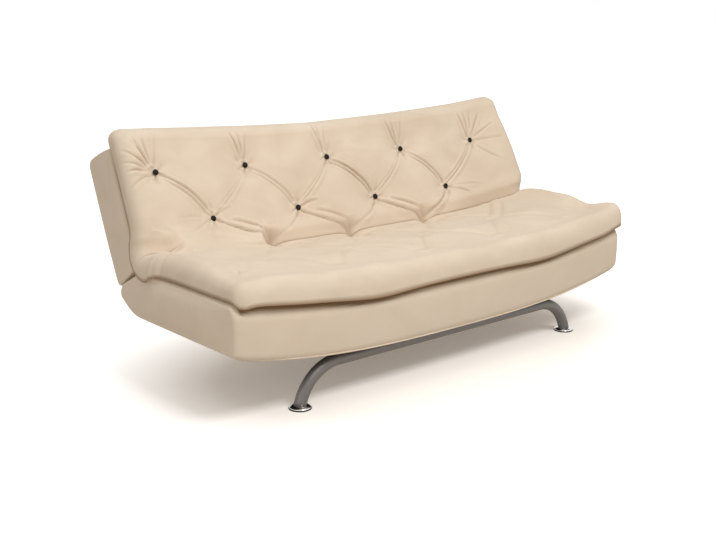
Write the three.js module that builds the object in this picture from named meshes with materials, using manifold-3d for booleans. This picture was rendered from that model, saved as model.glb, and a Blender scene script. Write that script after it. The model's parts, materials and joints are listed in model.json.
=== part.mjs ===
// A click clack sofa bed: a boat shaped seat and a back of the same shape on two ratchet hinges.
// Millimetres. X runs along the length, the front faces -Y, Z is up and the floor is at Z = 0.
// Seat pieces are drawn with Y = 0 at the seat's front face. Back pieces are drawn in a frame of
// their own on the hinge axis, with Z up along the back and -Y out of its front.

import * as THREE from "three";
import { mergeVertices } from "three/addons/utils/BufferGeometryUtils.js";
import Module from "manifold-3d";

const wasm = await Module();
wasm.setup();

const degree = Math.PI / 180;

// Gaps that keep two pieces apart.
const clearance = 0.3;
const padClearance = 0.4;
const overrun = 20;

// The boat shape: the middle of each half sags below, or behind, its two ends.
const halfLength = 950;
const seatTopSag = 60;
const seatBottomSag = 78;
const backSag = 60;
const sagPower = 2.8;

// The seat's box, given at its ends.
const seatBottomHeight = 240;
const seatBoxHeight = 168;
const seatEdgeRadius = 22;
const endRadius = 14;
const coverWall = 10;
const hemWidth = 60;

// The hinge axis, and the seam where the back sits on the seat's rear nose.
const hingeDepth = 681;
const hingeDrop = 108;
const backLean = 22.3 * degree;
const releaseTravel = 8 * degree;
const seamRadius = 54;
const seamGap = 4;
const seamSlope = 34.7 * degree;
const noseLowAngle = -14 * degree;
const noseUnderReach = 77;

// The back's shell, measured from the hinge axis.
const backThickness = 188;
const backHeight = 517;
const backTopRadius = 34;
const backTopFall = 4;
const backHeelRadius = 40;
const backToeTaper = 14;

// The quilted pad and its buttons. The whole pattern of tufts lies a little to the left.
const padThickness = 92;
const padCrown = 8;
const padEndOverhang = 5;
const padFrontOverhang = 14;
const padTopOverhang = 44;
const padCreaseReach = 30;
const padCreaseOpening = 24;
const buttonEndDistance = 159;
const upperButtonCount = 5;
const tuftShift = -33;
const rowPitch = 187;
const upperRowHeight = 395;
const backTuftDepth = 30;
const seatTuftDepth = 9;
const tuftReach = 55;
const buttonRadius = 9.5;
const buttonHeight = 6;
const buttonShankRadius = 3;

// Timber frames and their springs.
const frontRailThickness = 55;
const rearRailThickness = 50;
const rearRailInset = 1;
const seatRailHeight = 80;
const boardThickness = 25;
const bearerDrop = 12;
const backRailDepth = 86;
const backRailThickness = 25;
const backRailLow = 80;
const wireRadius = 1.9;
const springHalfWidth = 24;
const springBarPitch = 68;
const springSeat = 14;
const innerSeatSpringPlace = 230;
const outerSeatSpringInset = 255;
const outerBackSpringInset = 335;
const dustCoverThickness = 1.5;
const dustCoverInset = 3;

// Bent tube legs, their feet and saddles.
const tubeRadius = 21.5;
const tubeWall = 2;
const tubeGap = 3.5;
const legBendRadius = 165;
const legLean = 18 * degree;
const frontLegForward = 8;
const frontFootInset = 268;
const rearFootInset = 480;
const rearFootForward = 13;
const footRadius = 37.5;
const footHeight = 9;
const footEdgeHeight = 3;
const footCrownRadius = 24;
const spigotRoom = 8.5;
const spigotHeight = 14;
const glideRadius = 39;
const glideHeight = 4;
const glideChamfer = 1;
const saddleLength = 70;
const saddleWidth = 40;
const saddleDepth = 14;
const frontSaddleInset = 352;
const rearSaddleInset = 220;
const studRadius = 4;
const studLength = 45;

// The click clack mechanism.
const armInset = 135;
const armThickness = 5;
const discRadius = 34;
const armHalfWidth = 17;
const seatArmReach = 250;
const seatArmDrop = 18;
const backArmReach = 300;
const backArmOffset = 38;
const backArmBend = 120;
const pinRadius = 6;
const pinHeadRadius = 11;
const pinHeadHeight = 2.8;
const pawlPivotBack = -16;
const pawlPivotHeight = 46;
const pawlBossRadius = 6.5;
const pawlStubRadius = 3;
const pawlTipHalfWidth = 2.5;
const pawlTipLength = 8;
const pawlTipAngle = 12.9 * degree;
const pawlDrop = 10 * degree;
const notchHalfAngle = 8.5 * degree;
const notchDepth = 6;
const stopCount = 4;
const leafThickness = 0.8;
const leafLength = 20;
const leafWidth = 4;
const screwRadius = 3;
const screwLength = 18;
const screwEndDistance = 30;
const slotMargin = 6;
const slotReach = 10;

// Sizes that follow from those above.
const seatTopHeight = seatBottomHeight + seatBoxHeight;
const hingeHeight = seatTopHeight - hingeDrop;
const backFront = hingeDrop;
const backRear = backFront - backThickness;
const recline = Math.PI / 2 - backLean;
const seatUnderDepth = hingeDepth - noseUnderReach;
const armPlace = halfLength - armInset;
const padHalfLength = halfLength + padEndOverhang;
const buttonPitch = 2 * (padHalfLength - buttonEndDistance) / (upperButtonCount - 1);
const tuftStep = buttonPitch / 8;
const rowStep = rowPitch / 3;
const stationStep = buttonPitch / 4;
const seatRailLow = seatBottomHeight + coverWall + clearance;
const seatRailTop = seatRailLow + seatRailHeight;
const seatFrontRailFrom = seatEdgeRadius + clearance;
const seatFrontRailTo = seatFrontRailFrom + frontRailThickness;
const seatRearRailTo = seatUnderDepth - rearRailInset;
const seatRearRailFrom = seatRearRailTo - rearRailThickness;
const seatSpringSpans = [innerSeatSpringPlace, armPlace - outerSeatSpringInset];
const seatSpringPlaces = [...seatSpringSpans.map((place) => -place).reverse(), ...seatSpringSpans];
const backSpringPlaces = [outerBackSpringInset - armPlace, 0, armPlace - outerBackSpringInset];
const tubeHeight = seatBottomHeight - seatBottomSag - tubeRadius - tubeGap;
const spigotRadius = tubeRadius - tubeWall - spigotRoom;
const frontLegDepth = hemWidth - frontLegForward;
const frontFootSpan = halfLength - frontFootInset;
const frontSaddleSpan = frontFootSpan - frontSaddleInset;
const rearLegDepth = seatRearRailTo - rearRailThickness / 2;
const rearFootSpan = halfLength - rearFootInset;
const rearFootReach = hingeDepth - rearFootForward - rearLegDepth;
const rearSaddleSpan = rearFootSpan - rearSaddleInset;
const springRoom = 2 * (wireRadius + clearance);
const backRailFrom = -backRear - coverWall - clearance - backRailDepth;
const backRailTo = backRailFrom + backRailDepth;
const backTopRailHigh = backHeight - backTopFall - coverWall - clearance;
const backTopRailRear = -backRear - backTopRadius;
const frameEnd = halfLength - coverWall - clearance;
const footTop = glideHeight + clearance + footHeight;
const backArmFrom = armPlace - armThickness / 2 - clearance - armThickness;
const seatArmFrom = armPlace - armThickness / 2;
const seatArmTo = armPlace + armThickness / 2;
const slotFrom = backArmFrom - clearance - pinHeadHeight - slotMargin;
const slotTo = seatArmTo + clearance + pinHeadHeight + slotMargin;

const colours = {
  fabric: { color: 0xdcc8ae, roughness: 0.92, metalness: 0 },
  button: { color: 0x2a1c12, roughness: 0.6, metalness: 0 },
  tube: { color: 0x8c8a88, roughness: 0.4, metalness: 0.6 },
  chrome: { color: 0xd8d8d8, roughness: 0.12, metalness: 1 },
  glide: { color: 0x2b2724, roughness: 0.8, metalness: 0 },
  timber: { color: 0xc79d66, roughness: 0.8, metalness: 0 },
  foam: { color: 0xe9e2c8, roughness: 1, metalness: 0 },
  wire: { color: 0x77777a, roughness: 0.4, metalness: 0.9 },
  steel: { color: 0x9a9ca0, roughness: 0.35, metalness: 0.9 },
  lining: { color: 0x2e2c2b, roughness: 1, metalness: 0 },
};

// Solids and booleans

function toSolid(geometry) {
  const bare = geometry.index ? geometry.toNonIndexed() : geometry.clone();
  bare.deleteAttribute("normal");
  bare.deleteAttribute("uv");
  const merged = mergeVertices(bare);
  return new wasm.Manifold(new wasm.Mesh({
    numProp: 3,
    vertProperties: new Float32Array(merged.attributes.position.array),
    triVerts: new Uint32Array(merged.index.array),
  }));
}

function toGeometry(solid) {
  const mesh = solid.getMesh();
  const geometry = new THREE.BufferGeometry();
  geometry.setAttribute("position", new THREE.BufferAttribute(mesh.vertProperties, 3));
  geometry.setIndex(new THREE.BufferAttribute(mesh.triVerts, 1));
  geometry.computeVertexNormals();
  return geometry;
}

function cut(geometry, ...tools) {
  const solid = tools.reduce((rest, tool) => rest.subtract(toSolid(tool)), toSolid(geometry));
  return toGeometry(solid);
}

function join(geometry, ...others) {
  const solid = others.reduce((sum, other) => sum.add(toSolid(other)), toSolid(geometry));
  return toGeometry(solid);
}

function box(from, to) {
  const size = to.map((value, axis) => value - from[axis]);
  const geometry = new THREE.BoxGeometry(...size);
  geometry.translate(...from.map((value, axis) => value + size[axis] / 2));
  return geometry;
}

// A cylinder whose axis runs along X, through the given depth and height.
function cylinderAlongX(radius, from, to, depth, height, sides) {
  const geometry = new THREE.CylinderGeometry(radius, radius, to - from, sides);
  geometry.rotateZ(Math.PI / 2);
  geometry.translate((from + to) / 2, depth, height);
  return geometry;
}

function cylinderAlongZ(radius, from, to, x, depth, sides) {
  const geometry = new THREE.CylinderGeometry(radius, radius, to - from, sides);
  geometry.rotateX(Math.PI / 2);
  geometry.translate(x, depth, (from + to) / 2);
  return geometry;
}

// A flat plate: an outline in depth and height, given thickness along X.
function plate(shape, from, to) {
  const geometry = new THREE.ExtrudeGeometry(shape, { depth: to - from, bevelEnabled: false });
  const positions = geometry.attributes.position;
  for (let index = 0; index < positions.count; index += 1) {
    const [depth, height, x] = [positions.getX(index), positions.getY(index), positions.getZ(index)];
    positions.setXYZ(index, from + x, depth, height);
  }
  return geometry;
}

// The sagging boat shape

const halfStations = Array.from(
  { length: Math.max(1, Math.round(halfLength / stationStep - 1 / 2)) },
  (_, index) => index * stationStep,
).concat(halfLength);
const stations = [...halfStations.slice(1).reverse().map((x) => -x), ...halfStations];

// 1 at the middle of the length and 0 at its ends, straight between two stations.
function sagShare(x) {
  const along = Math.abs(x);
  const found = halfStations.findIndex((station) => station >= along);
  const high = Math.max(1, found === -1 ? halfStations.length - 1 : found);
  const [from, to] = [halfStations[high - 1], halfStations[high]];
  const [low, top] = [from, to].map((station) => (station / halfLength) ** sagPower);
  return 1 - THREE.MathUtils.lerp(low, top, (along - from) / (to - from));
}

function sagOfSeat(x, height) {
  const level = Math.min(1, (height - seatBottomHeight) / (seatTopHeight - seatBottomHeight));
  return sagShare(x) * THREE.MathUtils.lerp(seatBottomSag, seatTopSag, level);
}

function sagSeat(geometry) {
  const positions = geometry.attributes.position;
  for (let index = 0; index < positions.count; index += 1) {
    const height = positions.getZ(index);
    positions.setZ(index, height - sagOfSeat(positions.getX(index), height));
  }
  return geometry;
}

function sagBack(geometry) {
  const positions = geometry.attributes.position;
  for (let index = 0; index < positions.count; index += 1) {
    positions.setY(index, positions.getY(index) + sagShare(positions.getX(index)) * backSag);
  }
  return geometry;
}

// A closed skin over rings that lie across X. Each ring is an outline of as many points,
// anticlockwise in depth and height.
function loft(rings) {
  const count = rings[0].outline.length;
  const positions = rings.flatMap(({ x, outline }) => outline.flatMap((point) => [x, point.x, point.y]));
  const triangles = [];
  for (let ring = 0; ring < rings.length - 1; ring += 1) {
    for (let index = 0; index < count; index += 1) {
      const here = ring * count + index;
      const next = ring * count + ((index + 1) % count);
      triangles.push(here, next, next + count, here, next + count, here + count);
    }
  }
  const last = (rings.length - 1) * count;
  for (const [a, b, c] of THREE.ShapeUtils.triangulateShape(rings[0].outline, [])) {
    triangles.push(a, c, b, last + a, last + b, last + c);
  }
  const geometry = new THREE.BufferGeometry();
  geometry.setAttribute("position", new THREE.Float32BufferAttribute(positions, 3));
  geometry.setIndex(triangles);
  geometry.computeVertexNormals();
  return geometry;
}

function stationsBetween(from, to) {
  return [from, ...stations.filter((x) => x > from + clearance && x < to - clearance), to];
}

// One outline along the length, at every station between two places.
function prism(outline, from, to) {
  return loft(stationsBetween(from, to).map((x) => ({ x, outline })));
}

function rectangle(fromDepth, toDepth, fromHeight, toHeight) {
  return [
    new THREE.Vector2(fromDepth, fromHeight),
    new THREE.Vector2(toDepth, fromHeight),
    new THREE.Vector2(toDepth, toHeight),
    new THREE.Vector2(fromDepth, toHeight),
  ];
}

// The same outline drawn in by a distance, for anticlockwise outlines.
function inset(outline, distance) {
  const count = outline.length;
  const inward = outline.map((point, index) => {
    const edge = outline[(index + 1) % count].clone().sub(point).normalize();
    return new THREE.Vector2(-edge.y, edge.x);
  });
  return outline.map((point, index) => {
    const before = inward[(index + count - 1) % count];
    const after = inward[index];
    const shift = before.clone().add(after).divideScalar(1 + before.dot(after));
    return point.clone().addScaledVector(shift, distance);
  });
}

// An upholstered box: the outline along the whole length, with its end edges rounded.
function roundedPrism(outline) {
  const corner = [0, 1 / 4, 1 / 2].map((turn) => ({
    x: halfLength - endRadius * (1 - Math.cos(turn * Math.PI)),
    outline: inset(outline, endRadius * (1 - Math.sin(turn * Math.PI))),
  }));
  const flat = halfLength - endRadius;
  const middle = stationsBetween(-flat, flat).slice(1, -1).map((x) => ({ x, outline }));
  return loft([...corner.map((ring) => ({ ...ring, x: -ring.x })), ...middle, ...corner.reverse()]);
}

// Outlines of the seat and the back, in depth and height

// A point at a distance from the hinge axis, in a direction measured from the rear upwards.
function fromHinge(angle, distance) {
  return new THREE.Vector2(
    hingeDepth + distance * Math.cos(angle),
    hingeHeight + distance * Math.sin(angle),
  );
}

const seatNoseRadius = seamRadius - seamGap / 2;
const seatNoseHighAngle = Math.PI / 2 - seamSlope + releaseTravel;

function seatOutline() {
  const high = fromHinge(seatNoseHighAngle, seatNoseRadius);
  const low = fromHinge(noseLowAngle, seatNoseRadius);
  const slopeRun = (seatTopHeight - high.y) * Math.tan(seatNoseHighAngle);
  const [edgeTop, edgeLow] = [seatTopHeight - seatEdgeRadius, seatBottomHeight + seatEdgeRadius];
  const path = new THREE.Path();
  path.moveTo(seatEdgeRadius, seatBottomHeight);
  path.lineTo(seatUnderDepth, seatBottomHeight);
  path.quadraticCurveTo(low.x - seatNoseRadius, seatBottomHeight, low.x, low.y);
  path.absarc(hingeDepth, hingeHeight, seatNoseRadius, noseLowAngle, seatNoseHighAngle, false);
  path.lineTo(high.x - slopeRun, seatTopHeight);
  path.lineTo(seatEdgeRadius, seatTopHeight);
  path.absarc(seatEdgeRadius, edgeTop, seatEdgeRadius, Math.PI / 2, Math.PI, false);
  path.absarc(seatEdgeRadius, edgeLow, seatEdgeRadius, Math.PI, Math.PI * 3 / 2, false);
  const points = path.getPoints(2);
  points.pop();
  return points;
}

// How high the back's underside lies at a place behind its front, measured from the hinge axis.
function backToe(depth) {
  const tilt = recline - (Math.PI / 2 - seamSlope);
  return (seamRadius + seamGap / 2 - depth * Math.sin(tilt)) / Math.cos(tilt);
}

function backOutline() {
  const heelDepth = -backRear - backToeTaper;
  const heel = backToe(heelDepth);
  const path = new THREE.Path();
  path.moveTo(-backFront, backToe(-backFront));
  path.lineTo(heelDepth - backHeelRadius / 2, backToe(heelDepth - backHeelRadius / 2));
  path.quadraticCurveTo(heelDepth, heel, heelDepth + backToeTaper / 3, heel + backHeelRadius);
  path.quadraticCurveTo(-backRear, backHeight / 4, -backRear, backHeight / 2);
  path.lineTo(-backRear, backHeight - backTopRadius);
  path.absarc(-backRear - backTopRadius, backHeight - backTopRadius, backTopRadius, 0, Math.PI / 2, false);
  path.lineTo(-backFront + backTopRadius / 2, backHeight - backTopFall);
  path.lineTo(-backFront, backHeight - backTopRadius / 2);
  return path.getPoints(2);
}

// The outline of the room inside a cover, with the gap that its contents keep.
function fillOf(outline) {
  return inset(outline, coverWall + clearance);
}

const sides = [["left", -1], ["right", 1]];

// Two distances from the middle as places on one side of the sofa, the lower one first.
function onSide(side, ...distances) {
  return distances.map((distance) => side * distance).sort((a, b) => a - b);
}

// The slots in cover and foam that the mechanism works in, for one side of the sofa.
function seatSlots(side) {
  const [from, to] = onSide(side, slotFrom, slotTo);
  return [
    cylinderAlongX(seatNoseRadius + slotReach, from, to, hingeDepth, hingeHeight, 24),
    box(
      [from, seatRearRailTo - overrun, hingeHeight - seatArmDrop - armHalfWidth - slotReach],
      [to, hingeDepth, hingeHeight + slotReach],
    ),
  ];
}

function backSlots(side) {
  const [from, to] = onSide(side, slotFrom, slotTo);
  const reach = armHalfWidth + slotReach;
  return [box([from, -reach, 0], [to, backArmOffset + reach, backArmBend])];
}

// Seat box

function makeSeatCover() {
  const outline = seatOutline();
  const room = prism(inset(outline, coverWall), -halfLength + coverWall, halfLength - coverWall);
  const [mouthLow, mouthHigh] = [seatBottomHeight - overrun, seatBottomHeight + 2 * coverWall];
  const mouth = prism(
    rectangle(hemWidth, seatRearRailFrom - clearance, mouthLow, mouthHigh),
    -halfLength + hemWidth,
    halfLength - hemWidth,
  );
  const skin = cut(sagSeat(roundedPrism(outline)), sagSeat(room), sagSeat(mouth));
  const slots = sides.flatMap(([, side]) => seatSlots(side));
  const frontHoles = studHoles(frontLegDepth, frontSaddleSpan);
  const rearHoles = studHoles(rearLegDepth, rearSaddleSpan);
  return cut(skin, ...slots, ...frontHoles, ...rearHoles);
}

function makeSeatFoam() {
  const filling = prism(fillOf(seatOutline()), -frameEnd, frameEnd);
  const frameRoom = prism(
    rectangle(-overrun, seatRearRailTo + clearance, 0, seatRailTop + springRoom),
    -halfLength,
    halfLength,
  );
  const slots = sides.flatMap(([, side]) => seatSlots(side));
  return cut(sagSeat(filling), sagSeat(frameRoom), ...slots);
}

function makeDustCover() {
  const sheet = rectangle(
    hemWidth + clearance,
    seatRearRailFrom - 2 * clearance,
    seatBottomHeight + dustCoverInset,
    seatBottomHeight + dustCoverInset + dustCoverThickness,
  );
  const reach = halfLength - hemWidth - clearance;
  return sagSeat(prism(sheet, -reach, reach));
}

// Seat frame

function studHoles(depth, span) {
  return [-1, 1].map((side) => cylinderAlongZ(
    studRadius + clearance,
    0,
    studTop(side * span) + clearance,
    side * span,
    depth,
    12,
  ));
}

function studTop(x) {
  return seatBottomHeight - sagOfSeat(x, seatBottomHeight) + studLength;
}

function makeSeatRail(from, to, depth, span) {
  const rail = sagSeat(prism(rectangle(from, to, seatRailLow, seatRailTop), -frameEnd, frameEnd));
  return cut(rail, ...studHoles(depth, span));
}

// The rear rail is notched from above where each seat arm passes it.
function makeSeatRearRail() {
  const rail = makeSeatRail(seatRearRailFrom, seatRearRailTo, rearLegDepth, rearSaddleSpan);
  const notches = sides.map(([, side]) => {
    const [from, to] = onSide(side, seatArmFrom - slotMargin / 2, seatArmTo + slotMargin / 2);
    return box(
      [from, seatRearRailFrom - overrun, hingeHeight - seatArmDrop - armHalfWidth - slotMargin / 2],
      [to, seatRearRailTo + overrun, seatRailTop],
    );
  });
  return cut(rail, ...notches);
}

// A board that runs from the front rail to the rear rail, its top below theirs.
function makeSeatBearer(from, to) {
  const board = rectangle(
    seatFrontRailTo + clearance,
    seatRearRailFrom - clearance,
    seatRailLow,
    seatRailTop - bearerDrop,
  );
  return sagSeat(prism(board, from, to));
}

// Zigzag springs

// A wire that crosses from side to side in bars, each one a bar's pitch further along.
function springPath(place, from, to, lay) {
  const count = Math.max(2, Math.round((to - from) / springBarPitch));
  const step = (to - from) / count;
  const points = [];
  for (let bar = 0; bar <= count; bar += 1) {
    const turn = bar % 2 === 0 ? -1 : 1;
    for (const side of [turn, -turn]) {
      const x = place + side * springHalfWidth;
      points.push(lay(x, from + bar * step));
    }
  }
  return new THREE.CatmullRomCurve3(points, false, "catmullrom", 1 / 2);
}

function makeSpring(path) {
  const wire = new THREE.Shape();
  wire.absarc(0, 0, wireRadius, 0, Math.PI * 2, false);
  return new THREE.ExtrudeGeometry(wire, {
    steps: 2 * path.points.length,
    curveSegments: 2,
    extrudePath: path,
  });
}

function makeSeatSpring(place) {
  const height = seatRailTop + clearance + wireRadius;
  const lay = (x, depth) => new THREE.Vector3(x, depth, height - sagOfSeat(x, height));
  return makeSpring(springPath(place, seatFrontRailTo - springSeat, seatRearRailFrom + springSeat, lay));
}

function makeBackSpring(place) {
  const depth = backRailFrom - clearance - wireRadius;
  const lay = (x, height) => new THREE.Vector3(x, depth + sagShare(x) * backSag, height);
  const low = backRailLow + backRailThickness - springSeat;
  return makeSpring(springPath(place, low, backTopRailHigh - backRailThickness + springSeat, lay));
}

// Legs, feet and saddles

// The tube's line: up from one foot, round the bend, along to the other bend and down again.
class LegPath extends THREE.Curve {
  constructor(footSpan, depth, footReach) {
    super();
    this.footSpan = footSpan;
    this.depth = depth;
    this.footReach = footReach;
  }

  getPoint(share, target = new THREE.Vector3()) {
    const side = share < 1 / 2 ? -1 : 1;
    const along = 1 - Math.abs(2 * share - 1);
    const turn = Math.PI / 2 - legLean;
    const bendRise = legBendRadius * (1 - Math.cos(turn));
    const shinRise = tubeHeight - bendRise;
    const bendRun = legBendRadius * Math.sin(turn);
    const footRun = (shinRise - footTop) * Math.tan(legLean);
    const bendStart = this.footSpan - footRun;
    const [shinShare, bendShare] = [0.1, 0.9];
    let x = 0;
    let height = tubeHeight;
    if (along < shinShare) {
      height = shinRise * (along / shinShare);
      x = bendStart + (shinRise - height) * Math.tan(legLean);
    } else if (along < bendShare) {
      const angle = turn * (1 - (along - shinShare) / (bendShare - shinShare));
      x = bendStart - bendRun + legBendRadius * Math.sin(angle);
      height = tubeHeight - legBendRadius * (1 - Math.cos(angle));
    } else {
      x = (bendStart - bendRun) * (1 - along) / (1 - bendShare);
    }
    const reach = this.footReach * (tubeHeight - height) / (tubeHeight - footTop);
    return target.set(side * x, this.depth + reach, height);
  }

  getPointAt(share, target) {
    return this.getPoint(share, target);
  }

  getTangentAt(share, target) {
    return this.getTangent(share, target);
  }
}

function makeLegTube(footSpan, depth, footReach) {
  const ring = new THREE.Shape();
  ring.absarc(0, 0, tubeRadius, 0, Math.PI * 2, false);
  const bore = new THREE.Path();
  bore.absarc(0, 0, tubeRadius - tubeWall, 0, Math.PI * 2, true);
  ring.holes.push(bore);
  const tube = new THREE.ExtrudeGeometry(ring, {
    steps: 20,
    curveSegments: 6,
    extrudePath: new LegPath(footSpan, depth, footReach),
  });
  const level = footTop + clearance;
  return cut(tube, box([-halfLength, -halfLength, -halfLength], [halfLength, halfLength, level]));
}

function makeLathe(profile, segments) {
  const points = profile.map(([radius, height]) => new THREE.Vector2(radius, height));
  return new THREE.LatheGeometry(points, segments);
}

function makeFoot() {
  const low = glideHeight + clearance;
  const profile = [
    [0, low],
    [footRadius - glideChamfer, low],
    [footRadius, low + footEdgeHeight / 2],
    [footRadius - glideChamfer, low + footEdgeHeight],
    [(footRadius + footCrownRadius) / 2, (low + footEdgeHeight + footTop) / 2 + glideChamfer],
    [footCrownRadius, footTop],
    [spigotRadius, footTop],
    [spigotRadius, footTop + spigotHeight],
    [0, footTop + spigotHeight],
  ];
  return makeLathe(profile, 18).rotateX(Math.PI / 2);
}

function makeGlide() {
  const profile = [
    [0, 0],
    [glideRadius - glideChamfer, 0],
    [glideRadius, glideChamfer],
    [glideRadius, glideHeight - glideChamfer],
    [glideRadius - glideChamfer, glideHeight],
    [0, glideHeight],
  ];
  return makeLathe(profile, 18).rotateX(Math.PI / 2);
}

// A saddle lies between the tube and the seat's underside, and its stud goes up into the rail.
function makeSaddle(place, depth) {
  const top = seatBottomHeight - clearance;
  const low = tubeHeight + tubeRadius - saddleDepth + seatBottomSag;
  const outline = rectangle(depth - saddleWidth / 2, depth + saddleWidth / 2, low, top);
  const block = sagSeat(prism(outline, place - saddleLength / 2, place + saddleLength / 2));
  const tubeRoom = cylinderAlongX(
    tubeRadius + clearance,
    place - saddleLength,
    place + saddleLength,
    depth,
    tubeHeight,
    24,
  );
  const seat = top - sagOfSeat(place, top);
  const stud = cylinderAlongZ(studRadius, seat - clearance * 2, studTop(place), place, depth, 12);
  return join(cut(block, tubeRoom), stud);
}

// Back shell

function makeBackCover() {
  const outline = backOutline();
  const room = prism(inset(outline, coverWall), -halfLength + coverWall, halfLength - coverWall);
  const skin = cut(sagBack(roundedPrism(outline)), sagBack(room));
  return cut(skin, ...sides.flatMap(([, side]) => backSlots(side)));
}

function makeBackFoam() {
  const filling = prism(fillOf(backOutline()), -frameEnd, frameEnd);
  const frameRoom = prism(
    rectangle(backRailFrom - springRoom, backThickness, 0, backHeight),
    -halfLength,
    halfLength,
  );
  const slots = sides.flatMap(([, side]) => backSlots(side));
  return cut(sagBack(filling), sagBack(frameRoom), ...slots);
}

function makeBackRail(from, to, rear) {
  return sagBack(prism(rectangle(backRailFrom, rear, from, to), -frameEnd, frameEnd));
}

// The bottom rail is notched where each back arm passes it.
function makeBackBottomRail() {
  const rail = makeBackRail(backRailLow, backRailLow + backRailThickness, backRailTo - backToeTaper);
  const notches = sides.map(([, side]) => {
    const margin = slotMargin / 2;
    const [from, to] = onSide(side, backArmFrom - margin, backArmFrom + armThickness + margin);
    return box(
      [from, -backThickness, 0],
      [to, backArmOffset + armHalfWidth + slotMargin / 2, backHeight / 2],
    );
  });
  return cut(rail, ...notches);
}

function makeBackBearer(from, to) {
  const outline = rectangle(
    backRailFrom + bearerDrop,
    backRailTo - backToeTaper / 2,
    backRailLow + backRailThickness + clearance,
    backTopRailHigh - backRailThickness - clearance,
  );
  return sagBack(prism(outline, from, to));
}

// The click clack mechanism

// A notch in the seat arm's disc, between two angles. There is one for each position that the
// back is held in, and the first is longer, because the pawl passes it when the back is pulled
// forward to release it.
function notchTool(from, to) {
  const inner = discRadius - notchDepth;
  const outer = discRadius + overrun;
  const shape = new THREE.Shape();
  const corners = [[from, inner], [from, outer], [to, outer], [to, inner]].map(([angle, radius]) => (
    fromHinge(angle, radius)));
  corners.reverse().forEach((corner, index) => (
    index === 0 ? shape.moveTo(corner.x, corner.y) : shape.lineTo(corner.x, corner.y)));
  return shape;
}

function makeSeatArm(side) {
  const [from, to] = onSide(side, seatArmFrom, seatArmTo);
  const [before, after] = [from - overrun, to + overrun];
  const low = hingeHeight - seatArmDrop - armHalfWidth;
  const high = hingeHeight - seatArmDrop + armHalfWidth;
  const front = hingeDepth - seatArmReach;
  const bar = box([from, front, low], [to, hingeDepth, high]);
  const disc = cylinderAlongX(discRadius, from, to, hingeDepth, hingeHeight, 30);
  const bore = cylinderAlongX(pinRadius + clearance, before, after, hingeDepth, hingeHeight, 16);
  const step = recline / (stopCount - 1);
  const first = recline - pawlTipAngle + pawlDrop / 10;
  const notches = Array.from({ length: stopCount }, (_, stop) => {
    const centre = first - stop * step;
    const far = stop === 0 ? releaseTravel : 0;
    return plate(notchTool(centre - notchHalfAngle, centre + notchHalfAngle + far), before, after);
  });
  const screws = [front + screwEndDistance, seatRearRailFrom - screwEndDistance].map((depth) => {
    const [near, end] = onSide(side, seatArmFrom + clearance, seatArmFrom - screwLength);
    return cylinderAlongX(screwRadius, near, end, depth, (low + high) / 2, 8);
  });
  return join(cut(join(bar, disc), bore, ...notches), ...screws);
}

function screwHoles(side, face, places, height) {
  return places.map((place) => {
    const [near, end] = onSide(side, face + overrun, face - screwLength - clearance);
    return height === undefined
      ? cylinderAlongX(screwRadius + clearance, near, end, backArmOffset, place, 8)
      : cylinderAlongX(screwRadius + clearance, near, end, place, height, 8);
  });
}

function makeSeatCrossRail(side) {
  const [from, to] = onSide(side, seatArmFrom - clearance - boardThickness, seatArmFrom - clearance);
  const places = [hingeDepth - seatArmReach + screwEndDistance, seatRearRailFrom - screwEndDistance];
  return cut(makeSeatBearer(from, to), ...screwHoles(side, seatArmFrom, places, hingeHeight - seatArmDrop));
}

function makeBackCrossRail(side) {
  const [from, to] = onSide(side, backArmFrom - clearance - boardThickness, backArmFrom - clearance);
  const places = [backArmBend + screwEndDistance, backArmReach - screwEndDistance];
  return cut(makeBackBearer(from, to), ...screwHoles(side, backArmFrom, places));
}

function makeBackArm(side) {
  const [from, to] = onSide(side, backArmFrom, backArmFrom + armThickness);
  const [before, after] = [from - overrun, to + overrun];
  const bar = new THREE.Shape();
  bar.moveTo(armHalfWidth, 0);
  bar.lineTo(backArmOffset + armHalfWidth, backArmBend);
  bar.lineTo(backArmOffset + armHalfWidth, backArmReach);
  bar.lineTo(backArmOffset - armHalfWidth, backArmReach);
  bar.lineTo(backArmOffset - armHalfWidth, backArmBend);
  bar.lineTo(-armHalfWidth - pawlBossRadius, pawlPivotHeight + pawlBossRadius);
  bar.lineTo(-armHalfWidth - pawlBossRadius, pawlPivotHeight - pawlBossRadius);
  bar.lineTo(-armHalfWidth, 0);
  const disc = cylinderAlongX(discRadius, from, to, 0, 0, 24);
  const bore = cylinderAlongX(pinRadius + clearance, before, after, 0, 0, 16);
  const pivotRadius = pawlStubRadius + clearance;
  const pivot = cylinderAlongX(pivotRadius, before, after, pawlPivotBack, pawlPivotHeight, 16);
  const screws = [backArmBend + screwEndDistance, backArmReach - screwEndDistance].map((height) => {
    const [near, end] = onSide(side, backArmFrom + clearance, backArmFrom - screwLength);
    return cylinderAlongX(screwRadius, near, end, backArmOffset, height, 8);
  });
  return join(cut(join(plate(bar, from, to), disc), bore, pivot), ...screws);
}

// The hinge pin is a rivet with a head on each side of the two arms.
function makeHingePin() {
  const inner = backArmFrom - clearance;
  const outer = seatArmTo + clearance;
  const profile = [
    [0, inner - pinHeadHeight],
    [pinHeadRadius, inner - pinHeadHeight],
    [pinHeadRadius, inner],
    [pinRadius, inner],
    [pinRadius, outer],
    [pinHeadRadius, outer],
    [pinHeadRadius, outer + pinHeadHeight],
    [0, outer + pinHeadHeight],
  ];
  return makeLathe(profile, 16).rotateZ(-Math.PI / 2);
}

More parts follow.
